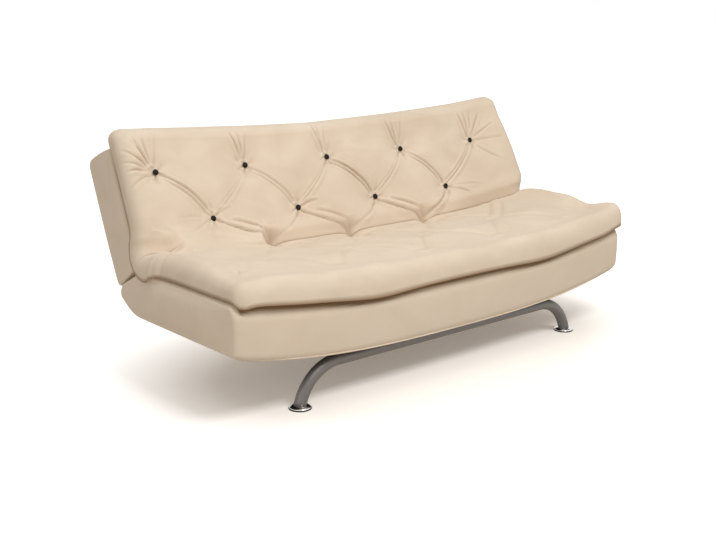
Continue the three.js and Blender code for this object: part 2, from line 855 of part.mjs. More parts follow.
// The pawl turns on a stub in the back arm, and its tip rides on the seat arm's notched disc.
function makePawl(side) {
  const [from, to] = onSide(side, seatArmFrom, seatArmTo);
  const tip = (radius, across) => new THREE.Vector2(
    radius * Math.sin(pawlTipAngle) + across * Math.cos(pawlTipAngle),
    radius * Math.cos(pawlTipAngle) - across * Math.sin(pawlTipAngle),
  );
  const low = discRadius + clearance * 2;
  const outline = [
    new THREE.Vector2(pawlPivotBack, pawlPivotHeight - pawlBossRadius),
    tip(low + pawlTipLength / 2, -pawlTipHalfWidth),
    tip(low, -pawlTipHalfWidth),
    tip(low, pawlTipHalfWidth),
    tip(low + pawlTipLength, pawlTipHalfWidth),
    new THREE.Vector2(pawlPivotBack, pawlPivotHeight + pawlBossRadius),
  ];
  const boss = cylinderAlongX(pawlBossRadius, from, to, pawlPivotBack, pawlPivotHeight, 20);
  const [near, end] = onSide(side, seatArmFrom + clearance, backArmFrom);
  const stub = cylinderAlongX(pawlStubRadius, near, end, pawlPivotBack, pawlPivotHeight, 16);
  return join(plate(new THREE.Shape(outline), from, to), boss, stub);
}

// A leaf spring on the back arm lies along the pawl's upper edge and presses its tip down.
function makePawlSpring(side) {
  const boss = new THREE.Vector2(pawlPivotBack, pawlPivotHeight + pawlBossRadius);
  const tip = new THREE.Vector2(
    (discRadius + pawlTipLength) * Math.sin(pawlTipAngle) + pawlTipHalfWidth * Math.cos(pawlTipAngle),
    (discRadius + pawlTipLength) * Math.cos(pawlTipAngle) - pawlTipHalfWidth * Math.sin(pawlTipAngle),
  );
  const slope = Math.atan2(tip.y - boss.y, tip.x - boss.x);
  const centre = boss.clone().lerp(tip, 1 / 2);
  const lift = leafThickness / 2 + 3 * clearance;
  const strip = new THREE.BoxGeometry(leafWidth, leafLength, leafThickness);
  strip.rotateX(slope);
  const x = side * (backArmFrom + armThickness + clearance + leafWidth / 2);
  strip.translate(x, centre.x - lift * Math.sin(slope), centre.y + lift * Math.cos(slope));
  return strip;
}

// The quilted pad, in distance along it from its rolled edge and thickness above what it lies on

function tuftPit(x, along, sites, depth) {
  return sites.reduce((sum, site) => {
    const distance = Math.hypot(x - site.x, along - site.along);
    return sum + depth * Math.exp(-((distance / tuftReach) ** 2));
  }, 0);
}

function padRing(x, length, rows, sites, tuftDepth, creaseSlope) {
  const half = padThickness / 2;
  const crown = (along) => padThickness + padCrown * Math.sin(Math.PI * along / length);
  const points = [new THREE.Vector2(half, 0), new THREE.Vector2(length / 2, 0)];
  for (const angle of [0, 25, 50, 75]) {
    const reach = padCreaseReach * (1 - Math.cos(angle * degree));
    const height = padThickness * Math.sin(angle * degree);
    points.push(new THREE.Vector2(length - creaseSlope * height - reach, height));
  }
  for (const along of rows) {
    points.push(new THREE.Vector2(along, crown(along) - tuftPit(x, along, sites, tuftDepth)));
  }
  for (const angle of [90, 130, 165, 195, 230]) {
    points.push(new THREE.Vector2(
      half + half * Math.cos(angle * degree),
      half + half * Math.sin(angle * degree),
    ));
  }
  return points;
}

// Rings across the pad from end to end, drawn in at both ends.
function padRings(length, rows, sites, tuftDepth, creaseSlope, place) {
  const half = padThickness / 2;
  const flat = padHalfLength - half;
  const first = Math.ceil((-flat - tuftShift) / tuftStep);
  const last = Math.floor((flat - tuftShift) / tuftStep);
  const columns = Array.from({ length: last - first + 1 }, (_, index) => (
    (first + index) * tuftStep + tuftShift));
  const ring = (x) => padRing(x, length, rows, sites, tuftDepth, creaseSlope);
  const drawnIn = [0, 30, 60].map((angle) => {
    const share = THREE.MathUtils.lerp(1 / 4, 1, Math.sin(angle * degree));
    const x = padHalfLength - half * (1 - Math.cos(angle * degree));
    const narrow = half * (1 - Math.sin(angle * degree));
    return { x, shrink: (point) => new THREE.Vector2(
      THREE.MathUtils.lerp(narrow, length - narrow, point.x / length),
      half + (point.y - half) * share,
    ) };
  });
  const rightEnd = drawnIn.map(({ x, shrink }) => ({ x, outline: ring(x).map(shrink) })).reverse();
  const leftEnd = drawnIn.map(({ x, shrink }) => ({ x: -x, outline: ring(-x).map(shrink) }));
  const middle = columns.map((x) => ({ x, outline: ring(x) }));
  return [...leftEnd, ...middle, ...rightEnd].map(({ x, outline }) => ({ x, outline: outline.map(place) }));
}

// Tuft sites: every second row is shifted by half a pitch.
function tuftSites(rowAlongs, firstShifted) {
  const reach = Math.floor(padHalfLength / buttonPitch * 2);
  return rowAlongs.flatMap((along, row) => {
    const shifted = (row % 2 === 0) === firstShifted;
    return Array.from({ length: 2 * reach + 1 }, (_, index) => index - reach)
      .filter((column) => (Math.abs(column) % 2 === 1) === shifted)
      .map((column) => ({ x: column * buttonPitch / 2 + tuftShift, along, row }));
  });
}

// The pads part along the line that halves the angle between seat and back.
const creaseSlope = Math.tan(recline / 2);
const creaseDepth = hingeDepth - backFront * creaseSlope;

const backPadLength = backHeight + padTopOverhang - (hingeDepth - creaseDepth) - seamGap;
const backPadTop = backHeight + padTopOverhang;
const backRows = [backPadTop - upperRowHeight, backPadTop - upperRowHeight + rowPitch];
const backSites = tuftSites(backRows, false);

function makeBackPad() {
  const first = backRows[0] - rowStep;
  const count = Math.floor((backPadLength - creaseSlope * padThickness - padCreaseReach - first) / rowStep);
  const rows = Array.from({ length: count + 1 }, (_, index) => first + index * rowStep).reverse();
  const place = (point) => new THREE.Vector2(-backFront - padClearance - point.y, backPadTop - point.x);
  const rings = padRings(backPadLength, rows, backSites, backTuftDepth, creaseSlope, place);
  return sagBack(loft(rings.map(({ x, outline }) => ({ x, outline: outline.reverse() }))));
}

function makeSeatPad() {
  const length = creaseDepth - padCreaseOpening + padFrontOverhang;
  const last = length - rowPitch / 2;
  const sites = tuftSites([last - rowPitch, last], true);
  const count = Math.ceil((last - padThickness) / rowStep);
  const rows = Array.from({ length: count }, (_, index) => last - index * rowStep);
  const place = (point) => new THREE.Vector2(
    point.x - padFrontOverhang,
    seatTopHeight + padClearance + point.y,
  );
  return sagSeat(loft(padRings(length, rows, sites, seatTuftDepth, creaseSlope, place)));
}

// A covered button with a short shank that stands on the bottom of its tuft.
const pitSlope = [tuftStep, rowStep].reduce((sum, step) => (
  sum + backTuftDepth * (1 - Math.exp(-((step / tuftReach) ** 2))) / step / Math.SQRT2), 0);
const endSlope = backSag * sagPower / halfLength;
const shankFoot = (pitSlope + endSlope) * buttonShankRadius + clearance;
const buttonBack = (pitSlope + endSlope) * buttonRadius + clearance;

function makeButton() {
  const profile = [
    [0, shankFoot],
    [buttonShankRadius, shankFoot],
    [buttonShankRadius, buttonBack],
    [buttonRadius, buttonBack + clearance],
    [buttonRadius, buttonBack + buttonHeight / 3],
    [buttonRadius * 2 / 3, buttonBack + buttonHeight * 5 / 6],
    [0, buttonBack + buttonHeight],
  ];
  return makeLathe(profile, 10).rotateX(Math.PI);
}

// Assembly

function addPiece(group, name, geometry, slot, position = [0, 0, 0]) {
  const mesh = new THREE.Mesh(geometry, new THREE.MeshStandardMaterial(colours[slot]));
  mesh.name = name;
  mesh.position.set(...position);
  group.add(mesh);
}

function addLegs(group) {
  const legs = [
    ["front", frontFootSpan, frontLegDepth, 0, frontSaddleSpan],
    ["rear", rearFootSpan, rearLegDepth, rearFootReach, rearSaddleSpan],
  ];
  for (const [row, footSpan, depth, reach, saddleSpan] of legs) {
    addPiece(group, `${row}_leg_tube`, makeLegTube(footSpan, depth, reach), "tube");
    for (const [name, side] of sides) {
      const place = [side * footSpan, depth + reach, 0];
      addPiece(group, `${row}_${name}_foot`, makeFoot(), "chrome", place);
      addPiece(group, `${row}_${name}_glide`, makeGlide(), "glide", place);
      addPiece(group, `${row}_${name}_saddle`, makeSaddle(side * saddleSpan, depth), "steel");
    }
  }
}

function addSeat(group) {
  addPiece(group, "seat_cover", makeSeatCover(), "fabric");
  addPiece(group, "seat_foam", makeSeatFoam(), "foam");
  addPiece(group, "seat_pad", makeSeatPad(), "fabric");
  addPiece(group, "seat_dust_cover", makeDustCover(), "lining");
  const frontRail = makeSeatRail(seatFrontRailFrom, seatFrontRailTo, frontLegDepth, frontSaddleSpan);
  addPiece(group, "seat_front_rail", frontRail, "timber");
  addPiece(group, "seat_rear_rail", makeSeatRearRail(), "timber");
  addPiece(group, "seat_centre_rail", makeSeatBearer(-boardThickness / 2, boardThickness / 2), "timber");
  for (const [name, side] of sides) {
    const [from, to] = onSide(side, frameEnd - boardThickness, frameEnd);
    addPiece(group, `seat_${name}_end_rail`, makeSeatBearer(from, to), "timber");
    addPiece(group, `seat_${name}_cross_rail`, makeSeatCrossRail(side), "timber");
    addPiece(group, `seat_${name}_hinge_arm`, makeSeatArm(side), "steel");
    const pin = side > 0 ? makeHingePin() : makeHingePin().rotateY(Math.PI);
    addPiece(group, `${name}_hinge_pin`, pin, "steel", [0, hingeDepth, hingeHeight]);
  }
  seatSpringPlaces.forEach((place, index) => {
    addPiece(group, `seat_spring_${index + 1}`, makeSeatSpring(place), "wire");
  });
}

function addBack(group) {
  addPiece(group, "back_cover", makeBackCover(), "fabric");
  addPiece(group, "back_foam", makeBackFoam(), "foam");
  addPiece(group, "back_pad", makeBackPad(), "fabric");
  addPiece(group, "back_bottom_rail", makeBackBottomRail(), "timber");
  const topRail = makeBackRail(backTopRailHigh - backRailThickness, backTopRailHigh, backTopRailRear);
  addPiece(group, "back_top_rail", topRail, "timber");
  for (const [name, side] of sides) {
    const [from, to] = onSide(side, frameEnd - boardThickness, frameEnd);
    addPiece(group, `back_${name}_end_rail`, makeBackBearer(from, to), "timber");
    addPiece(group, `back_${name}_cross_rail`, makeBackCrossRail(side), "timber");
    addPiece(group, `back_${name}_hinge_arm`, makeBackArm(side), "steel");
    addPiece(group, `${name}_pawl`, makePawl(side), "steel");
    addPiece(group, `${name}_pawl_spring`, makePawlSpring(side), "wire");
  }
  backSpringPlaces.forEach((place, index) => {
    addPiece(group, `back_spring_${index + 1}`, makeBackSpring(place), "wire");
  });
  backRows.forEach((along, row) => {
    const rowName = row === 0 ? "upper" : "lower";
    backSites.filter((site) => site.row === row).forEach((site, index) => {
      const pit = padThickness + padCrown * Math.sin(Math.PI * along / backPadLength)
        - tuftPit(site.x, along, backSites, backTuftDepth);
      const depth = -backFront - padClearance - pit + sagShare(site.x) * backSag;
      const place = [site.x, depth, backPadTop - along];
      addPiece(group, `${rowName}_button_${index + 1}`, makeButton(), "button", place);
    });
  });
}

const sofa = new THREE.Group();
const back = new THREE.Group();
back.position.set(0, hingeDepth, hingeHeight);
back.rotation.x = -backLean;
sofa.add(back);
addSeat(sofa);
addLegs(sofa);
addBack(back);

// The origin is on the floor, under the middle of the whole sofa.
const extent = new THREE.Box3().setFromObject(sofa, true);
sofa.position.y = -(extent.min.y + extent.max.y) / 2;
sofa.updateMatrixWorld(true);

export default sofa;
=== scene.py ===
"""A click clack sofa bed for Blender: its quilted pad, upholstery, buttons, bent tube legs and studio.

Everything is in metres. X runs along the length, the front faces -Y and Z is up.
"""

import json
import math

import bmesh
import bpy
import numpy as np
from bpy.props import FloatProperty, FloatVectorProperty, PointerProperty
from mathutils import Matrix, Vector

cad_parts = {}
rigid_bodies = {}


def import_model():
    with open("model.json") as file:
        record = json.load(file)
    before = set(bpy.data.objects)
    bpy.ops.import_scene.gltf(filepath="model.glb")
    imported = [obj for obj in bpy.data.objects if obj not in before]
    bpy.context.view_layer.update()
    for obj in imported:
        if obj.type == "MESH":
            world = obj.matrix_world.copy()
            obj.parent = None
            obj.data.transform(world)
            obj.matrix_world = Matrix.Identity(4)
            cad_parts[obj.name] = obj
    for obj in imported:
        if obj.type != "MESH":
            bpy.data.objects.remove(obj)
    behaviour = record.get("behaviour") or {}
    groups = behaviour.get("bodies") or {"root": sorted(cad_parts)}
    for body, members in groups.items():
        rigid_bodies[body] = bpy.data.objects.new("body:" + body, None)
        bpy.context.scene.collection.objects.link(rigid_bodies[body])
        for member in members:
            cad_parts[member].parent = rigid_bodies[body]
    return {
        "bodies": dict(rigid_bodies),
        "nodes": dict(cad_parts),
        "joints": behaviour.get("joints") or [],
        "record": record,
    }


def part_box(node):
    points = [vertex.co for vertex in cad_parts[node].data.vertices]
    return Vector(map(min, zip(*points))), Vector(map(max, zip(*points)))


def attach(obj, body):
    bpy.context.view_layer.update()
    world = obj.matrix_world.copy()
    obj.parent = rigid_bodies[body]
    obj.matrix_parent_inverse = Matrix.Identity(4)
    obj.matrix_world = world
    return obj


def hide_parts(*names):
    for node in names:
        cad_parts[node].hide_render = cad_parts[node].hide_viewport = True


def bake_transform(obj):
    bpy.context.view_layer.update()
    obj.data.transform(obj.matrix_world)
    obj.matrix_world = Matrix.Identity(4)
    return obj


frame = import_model()

bl_info = {
    "name": "Click Clack Sofa Bed",
    "version": (1, 0, 0),
    "blender": (4, 5, 0),
    "location": "3D View > Sidebar > Sofa Bed",
    "description": "Builds a click clack sofa bed with a quilted pad and bent tube legs",
    "category": "Object",
}

# The frame of the sofa. The seat's front face lies this far in front of the middle of the floor.
SEAT_FRONT = -0.491958
HINGE_RUN = 0.681
HINGE_DEPTH = HINGE_RUN + SEAT_FRONT
HINGE_HEIGHT = 0.300
LEAN = math.radians(22.3)
HALF_TURN = (math.pi / 2 - LEAN) / 2
SAG_POWER = 2.8

# The boat shape of seat and back.
SEAT_BOTTOM = 0.240
SEAT_TOP = 0.408
SEAT_TOP_SAG = 0.060
SEAT_BOTTOM_SAG = 0.078
RIM_DROP = 0.011
BACK_SAG = 0.060
BACK_FRONT = 0.108
BACK_THICKNESS = 0.188
BACK_HEIGHT = 0.517

# The seam between seat and back: the seat's round nose and sloped top, and the back's flat toe.
NOSE_RADIUS = 0.052
SEAM_SLOPE = math.radians(63.3)
TOE_HEIGHT = 0.056
TOE_TILT = math.radians(34.7) - LEAN

# The pad's overhang in front of the seat box and past its ends, and the rounded edge under it.
FRONT_OVERHANG = 0.019
END_OVERHANG = 0.005
EDGE_DEPTH = 0.036
EDGE_HEIGHT = 0.052

# How far up the back the pad reaches at its ends, where its crease lies on the back's scale, and
# the width on each side of the crease that has close rows of points.
PAD_TOP = 0.561
UP_AT_CREASE = 0.1341
CREASE_BAND = 0.055

# Where the tufts lie: the columns are half a pitch apart and stand a little to the left.
COLUMN = 0.199
TUFT_SHIFT = -0.033
UPPER_ROW = 0.395
LOWER_ROW = 0.208
WIDE_ROW = (-4, -2, 0, 2, 4)
NARROW_ROW = (-3, -1, 1, 3)

# The seat's rows of dimples: distance from the front, columns, depth and width of a dimple.
SEAT_ROWS = (
    (0.360, NARROW_ROW, 0.019, 0.058),
    (0.145, WIDE_ROW, 0.024, 0.060),
    (0.030, NARROW_ROW, 0.007, 0.060),
)

# The three places along the crease where the cloth is drawn in deeply.
TUCKS = (-0.398, 0.0, 0.402)

# The bent leg tubes: lean of the shins, radius of the bends, height of the top and where a foot ends.
LEG_LEAN = math.radians(18)
LEG_BEND = 0.165
LEG_TOP = 0.137
FOOT_TOP = 0.0133
TUBE_END = 0.0136

# The camera: where it stands, how it is turned to the side and down, and its lens in millimetres.
CAMERA_PLACE = (-2.593, -2.985, 1.240)
CAMERA_YAW = 0.704
CAMERA_PITCH = 0.238
CAMERA_LENS = 51.48

# The lamps: where each stands, what it looks at, its width and depth, and its power in watts.
LAMPS = {
    "top_lamp": ((-0.3, 0.2, 3.6), (0, 0.05, 0.4), (2.0, 1.6), 13),
    "key_lamp": ((-0.3, -2.6, 3.3), (0, 0, 0.45), (1.5, 1.2), 76),
    "left_lamp": ((-4.2, -1.2, 1.3), (0, 0, 0.4), (2.6, 2.0), 18),
}

# Cloth, leather and foam: scale and strength of the patches, scale of the fibres, roughness,
# strength and distance of the bump, and gloss.
NAPS = {
    "pad cloth": (4.5, 0.42, 700.0, 0.82, (0.35, 0.0006), 0.25),
    "box cloth": (4.5, 0.22, 700.0, 0.82, (0.35, 0.0006), 0.25),
    "button leather": (60.0, 0.3, 1400.0, 0.55, (0.3, 0.0003), 0.18),
    "foam cells": (20.0, 0.2, 350.0, 0.9, (0.7, 0.0015), 0.1),
    "dust cloth": (30.0, 0.5, 500.0, 0.9, (0.6, 0.0006), 0.15),
}

# Metal, paint and plastic: roughness, strength of the smears, metallic share and scale of the marks.
METALS = {
    "tube paint": (0.42, 0.10, 0.55, 22.0),
    "foot chrome": (0.09, 0.10, 1.0, 30.0),
    "glide plastic": (0.45, 0.2, 0.0, 60.0),
    "pressed steel": (0.34, 0.25, 0.9, 40.0),
    "spring wire": (0.28, 0.15, 0.9, 90.0),
    "saddle paint": (0.55, 0.15, 0.3, 30.0),
}


def smooth_step(value):
    """From 0 to 1 with level ends: three times the square less twice the cube."""
    clipped = np.clip(value, 0, 1)
    return clipped * clipped * (3 - 2 * clipped)


def bell(distance, width):
    """A bell curve: e to the power of minus the square of distance over width."""
    return np.exp(-((distance / width) ** 2))


def roll(distance, radius, power=2.3):
    """A rounded edge: 0 at the edge and 1 from the radius inwards, along a superellipse."""
    left = 1 - np.clip(distance / radius, 0, 1)
    return (1 - left ** power) ** (1 / power)


def sag_share(x):
    """1 at the middle of the length and 0 at its ends: one less the distance to the power 2.8."""
    half = bpy.context.scene.sofa_shape.half_length
    return 1 - np.minimum(np.abs(x) / half, 1) ** SAG_POWER


def pad_half():
    """Half the pad's length: it reaches a little past the boxes."""
    return bpy.context.scene.sofa_shape.half_length + END_OVERHANG


def column_place(column):
    """Where a column of tufts stands along the length."""
    return column * COLUMN + TUFT_SHIFT


# Building meshes

def put_mesh(name, points, faces, close=True, painted_shade=None):
    """Puts points and faces into a new smooth object, merges doubles and turns the faces outwards.

    The last argument, from 0 to 1 at each point, is how strongly painted shade darkens the cloth there.
    """
    mesh = bpy.data.meshes.new(name)
    mesh.from_pydata(points.reshape(-1, 3).tolist(), [], faces)
    if painted_shade is not None:
        # Keeps the painted shade as a point attribute that the cloth material reads.
        mesh.attributes.new("painted_shade", "FLOAT", "POINT").data.foreach_set("value", painted_shade.ravel())
    work = bmesh.new()
    work.from_mesh(mesh)
    if close:
        bmesh.ops.remove_doubles(work, verts=work.verts, dist=1e-5)
        bmesh.ops.dissolve_degenerate(work, edges=work.edges, dist=1e-6)
        bmesh.ops.recalc_face_normals(work, faces=work.faces)
    work.to_mesh(mesh)
    work.free()
    mesh.shade_smooth()
    piece = bpy.data.objects.new(name, mesh)
    bpy.context.scene.collection.objects.link(piece)
    return piece


def grid_faces(rows, columns, round_rows=False, round_columns=False, first=0):
    """The four sided faces of a grid of points, counted row by row, which may close on itself."""
    row = np.arange(rows if round_rows else rows - 1)[:, None]
    column = np.arange(columns if round_columns else columns - 1)[None, :]
    here = row * columns + column
    beside = row * columns + (column + 1) % columns
    above = (row + 1) % rows * columns + column
    across = (row + 1) % rows * columns + (column + 1) % columns
    return (first + np.stack([here, beside, across, above], axis=-1)).reshape(-1, 4).tolist()


def end_rings(ring, bulge):
    """Smaller and smaller rings inside a closed ring, from its middle outwards.

    They bulge along X by the bulge times (1 - u squared) (1 - v squared), with u and v from -1 to 1
    across the ring, and fall back to the ring itself close to it.
    """
    shares = np.array([0.0, 0.15, 0.3, 0.45, 0.6, 0.72, 0.82, 0.9, 0.96])[:, None, None]
    low, high = ring.min(axis=0), ring.max(axis=0)
    inner = (ring - (low + high) / 2) * shares
    across = 2 * inner[..., 1:] / np.maximum(high - low, 1e-9)[1:]
    lift = np.prod(1 - across ** 2, axis=-1, keepdims=True) * (1 - shares ** 8)
    return (low + high) / 2 + inner + lift * (bulge, 0, 0)


def closed_skin(name, rings, bulge=0.0, painted_shade=None):
    """A skin over closed rings. Each end is filled with smaller rings, and may bulge along X."""
    bulge = math.copysign(bulge, rings[-1, 0, 0] - rings[0, 0, 0])
    start, end = end_rings(rings[0], -bulge), end_rings(rings[-1], bulge)[::-1]
    points = np.concatenate([start, rings, end])
    faces = grid_faces(points.shape[0], points.shape[1], round_columns=True)
    # The filled ends get no painted shade.
    if painted_shade is not None:
        painted_shade = np.pad(painted_shade, ((len(start), len(end)), (0, 0)))
    return put_mesh(name, points, faces, painted_shade=painted_shade)


def sweep(path, radius, across, sides, closed=False):
    """Rings of a round bar along a path: each ring turns the side direction about the path's tangent."""
    if closed:
        tangent = np.roll(path, -1, axis=0) - np.roll(path, 1, axis=0)
    else:
        tangent = np.gradient(path, axis=0)
    tangent /= np.linalg.norm(tangent, axis=1, keepdims=True)
    upward = np.cross(tangent, np.asarray(across, float))
    upward /= np.linalg.norm(upward, axis=1, keepdims=True)
    sideways = np.cross(upward, tangent)
    angle = np.linspace(0, 2 * math.pi, sides, endpoint=False)[None, :, None]
    ring = np.cos(angle) * sideways[:, None, :] + np.sin(angle) * upward[:, None, :]
    return path[:, None, :] + radius * ring


def lathe(profile, steps=64):
    """Turns a profile of radius and height about the upright axis, as rings of points."""
    angle = np.linspace(0, 2 * math.pi, steps, endpoint=False)
    radius, height = np.asarray(profile, float).T
    return np.stack([
        radius[:, None] * np.cos(angle),
        radius[:, None] * np.sin(angle),
        np.repeat(height[:, None], steps, axis=1),
    ], axis=-1)


def arc(centre, radius, start, end, count):
    """Points on an arc between two angles in degrees, in depth and height."""
    angle = np.radians(np.linspace(start, end, count))
    return np.stack([centre[0] + radius * np.cos(angle), centre[1] + radius * np.sin(angle)], axis=-1)


def curve(start, handle, end, count):
    """Points on a quadratic curve: two straight blends blended again."""
    share = np.linspace(0, 1, count)[:, None]
    start, handle, end = (np.asarray(point, float) for point in (start, handle, end))
    return (1 - share) ** 2 * start + 2 * share * (1 - share) * handle + share ** 2 * end


def line(start, end, count):
    """Points on a straight line, ends included."""
    share = np.linspace(0, 1, count)[:, None]
    return np.asarray(start, float) * (1 - share) + np.asarray(end, float) * share


def slow_waves(x, along, seed, height):
    """The sum of twelve waves of seeded directions and lengths, for the uneven lie of soft filling."""
    chance = np.random.default_rng(seed)
    total = np.zeros(np.broadcast(x, along).shape)
    for _ in range(12):
        turn, start = chance.uniform(0, 2 * math.pi, 2)
        length = chance.uniform(0.11, 0.34)
        wave = (x * math.cos(turn) + along * math.sin(turn)) * 2 * math.pi / length
        total = total + np.sin(wave + start)
    return total * height / 6


# Materials

def set_inputs(node, values):
    """Sets a node's input sockets."""
    for name, value in values.items():
        node.inputs[name].default_value = value


def add_node(tree, kind, values=None, **settings):
    """Adds a node, sets its properties and then its input sockets."""
    node = tree.nodes.new(kind)
    for name, value in settings.items():
        setattr(node, name, value)
    set_inputs(node, values or {})
    return node


def add_ramp(tree, low, high):
    """Adds a colour ramp from one colour to another."""
    ramp = add_node(tree, "ShaderNodeValToRGB")
    for element, colour in zip(ramp.color_ramp.elements, (low, high)):
        element.color = (*colour, 1)
    return ramp


def connect(tree, *wires):
    """Links nodes: each wire holds a node, its output, the next node and that one's input."""
    for node, output, following, entry in wires:
        tree.links.new(node.outputs[output], following.inputs[entry])


def new_group(name, **inputs):
    """A shader node group that turns inputs into colour, roughness and height, and its end nodes.

    Each input is given with its first value, which is a colour or a number.
    """
    group = bpy.data.node_groups.new(name, "ShaderNodeTree")
    for label, value in inputs.items():
        kind = "NodeSocketColor" if isinstance(value, tuple) else "NodeSocketFloat"
        label = label.replace("_", " ")
        group.interface.new_socket(name=label, in_out="INPUT", socket_type=kind).default_value = value
    for label, kind in (("Colour", "Color"), ("Roughness", "Float"), ("Height", "Float")):
        group.interface.new_socket(name=label, in_out="OUTPUT", socket_type=f"NodeSocket{kind}")
    return group, add_node(group, "NodeGroupInput"), add_node(group, "NodeGroupOutput")


def nap_group():
    """Brushed cloth: broad patches where the nap lies another way, fine fibres, and painted shade."""
    name = "Brushed Nap"
    if name in bpy.data.node_groups:
        return bpy.data.node_groups[name]
    group, given, result = new_group(
        name, Colour=(0.7, 0.6, 0.45, 1), Patch_Scale=5.0, Patch_Strength=0.1, Fibre_Scale=900.0,
        Roughness=0.85, Recess=0.0)
    place = add_node(group, "ShaderNodeTexCoord")
    stretch = add_node(group, "ShaderNodeMapping", {"Scale": (1.0, 1.7, 1.7)})
    patch = add_node(group, "ShaderNodeTexNoise", {"Detail": 5.0, "Roughness": 0.6, "Distortion": 0.6})
    fibre = add_node(group, "ShaderNodeTexNoise", {"Detail": 3.0, "Roughness": 0.7})
    thread = add_node(group, "ShaderNodeTexVoronoi", {"Randomness": 1.0})
    dark = add_node(group, "ShaderNodeMixRGB", {"Color2": (0.80, 0.76, 0.70, 1)}, blend_type="MULTIPLY")
    span = add_node(group, "ShaderNodeMapRange", {"From Min": 0.35, "From Max": 0.7})
    reach = add_node(group, "ShaderNodeMath", operation="MULTIPLY")
    fleck = add_node(group, "ShaderNodeMixRGB", {"Color2": (0.90, 0.89, 0.87, 1)}, blend_type="MULTIPLY")
    fleck_reach = add_node(group, "ShaderNodeMath", {1: 0.55}, operation="MULTIPLY")
    rough = add_node(group, "ShaderNodeMath", {1: 0.10}, operation="MULTIPLY_ADD")
    height = add_node(group, "ShaderNodeMath", operation="ADD")
    # Painted shade: the group's last input multiplies the colour towards a dark brown, in gaps and folds.
    shade = add_node(group, "ShaderNodeMixRGB", {"Color2": (0.38, 0.28, 0.18, 1)}, blend_type="MULTIPLY")
    connect(
        group, (place, "Object", stretch, "Vector"), (stretch, "Vector", patch, "Vector"),
        (place, "Object", fibre, "Vector"), (place, "Object", thread, "Vector"),
        (given, "Patch Scale", patch, "Scale"), (given, "Fibre Scale", fibre, "Scale"),
        (given, "Fibre Scale", thread, "Scale"), (patch, "Fac", span, "Value"),
        (span, "Result", reach, 0), (given, "Patch Strength", reach, 1),
        (given, "Colour", dark, "Color1"), (reach, "Value", dark, "Fac"),
        (fibre, "Fac", fleck_reach, 0), (dark, "Color", fleck, "Color1"),
        (fleck_reach, "Value", fleck, "Fac"), (patch, "Fac", rough, 0),
        (given, "Roughness", rough, 2), (fibre, "Fac", height, 0), (thread, "Distance", height, 1),
        (given, "Recess", shade, "Fac"), (fleck, "Color", shade, "Color1"),
        (shade, "Color", result, "Colour"), (rough, "Value", result, "Roughness"),
        (height, "Value", result, "Height"))
    return group


def wear_group():
    """Handled metal or paint: faint cloudy smears and fine marks that change the gloss."""
    name = "Handling Marks"
    if name in bpy.data.node_groups:
        return bpy.data.node_groups[name]
    group, given, result = new_group(
        name, Colour=(0.5, 0.5, 0.5, 1), Scale=25.0, Roughness=0.3, Smear=0.1)
    place = add_node(group, "ShaderNodeTexCoord")
    cloud = add_node(group, "ShaderNodeTexNoise", {"Detail": 6.0, "Roughness": 0.65})
    grit_scale = add_node(group, "ShaderNodeMath", {1: 40.0}, operation="MULTIPLY")
    grit = add_node(group, "ShaderNodeTexNoise", {"Detail": 2.0})
    smear = add_node(group, "ShaderNodeMath", operation="MULTIPLY")
    rough = add_node(group, "ShaderNodeMath", operation="ADD")
    tint = add_node(group, "ShaderNodeMixRGB", {"Color2": (0.72, 0.70, 0.68, 1)}, blend_type="MULTIPLY")
    connect(
        group, (place, "Object", cloud, "Vector"), (place, "Object", grit, "Vector"),
        (given, "Scale", cloud, "Scale"), (given, "Scale", grit_scale, 0),
        (grit_scale, "Value", grit, "Scale"), (cloud, "Fac", smear, 0), (given, "Smear", smear, 1),
        (smear, "Value", rough, 0), (given, "Roughness", rough, 1),
        (given, "Colour", tint, "Color1"), (smear, "Value", tint, "Fac"),
        (tint, "Color", result, "Colour"), (rough, "Value", result, "Roughness"),
        (grit, "Fac", result, "Height"))
    return group


def grain_group():
    """Sawn softwood: bands stretched along the board, bent by noise, with fine pores."""
    name = "Wood Grain"
    if name in bpy.data.node_groups:
        return bpy.data.node_groups[name]
    group, given, result = new_group(
        name, Light=(0.6, 0.4, 0.2, 1), Dark=(0.4, 0.22, 0.1, 1), Scale=14.0)
    place = add_node(group, "ShaderNodeTexCoord")
    stretch = add_node(group, "ShaderNodeMapping", {"Scale": (0.12, 1.0, 1.0)})
    band = add_node(
        group, "ShaderNodeTexWave", {"Distortion": 7.0, "Detail": 3.0, "Detail Scale": 1.4},
        wave_type="BANDS", bands_direction="Z")
    pore = add_node(group, "ShaderNodeTexNoise", {"Scale": 420.0, "Detail": 2.0})
    tone = add_node(group, "ShaderNodeMixRGB")
    rough = add_node(group, "ShaderNodeMath", {1: 0.2, 2: 0.6}, operation="MULTIPLY_ADD")
    connect(
        group, (place, "Object", stretch, "Vector"), (stretch, "Vector", band, "Vector"),
        (stretch, "Vector", pore, "Vector"), (given, "Scale", band, "Scale"),
        (band, "Fac", tone, "Fac"), (given, "Light", tone, "Color1"),
        (given, "Dark", tone, "Color2"), (pore, "Fac", rough, 0), (tone, "Color", result, "Colour"),
        (rough, "Value", result, "Roughness"), (pore, "Fac", result, "Height"))
    return group


def new_material(name, group, values, bump, surface):
    """A material with one Principled BSDF, fed by a group's colour, roughness and height."""
    if name in bpy.data.materials:
        return bpy.data.materials[name]
    material = bpy.data.materials.new(name)
    material.use_nodes = True
    tree = material.node_tree
    shader = tree.nodes["Principled BSDF"]
    effect = add_node(tree, "ShaderNodeGroup", node_tree=group)
    set_inputs(effect, values)
    strength, distance = bump
    relief = add_node(tree, "ShaderNodeBump", {"Strength": strength, "Distance": distance})
    connect(
        tree, (effect, "Colour", shader, "Base Color"), (effect, "Roughness", shader, "Roughness"),
        (effect, "Height", relief, "Height"), (relief, "Normal", shader, "Normal"))
    set_inputs(shader, surface)
    return material


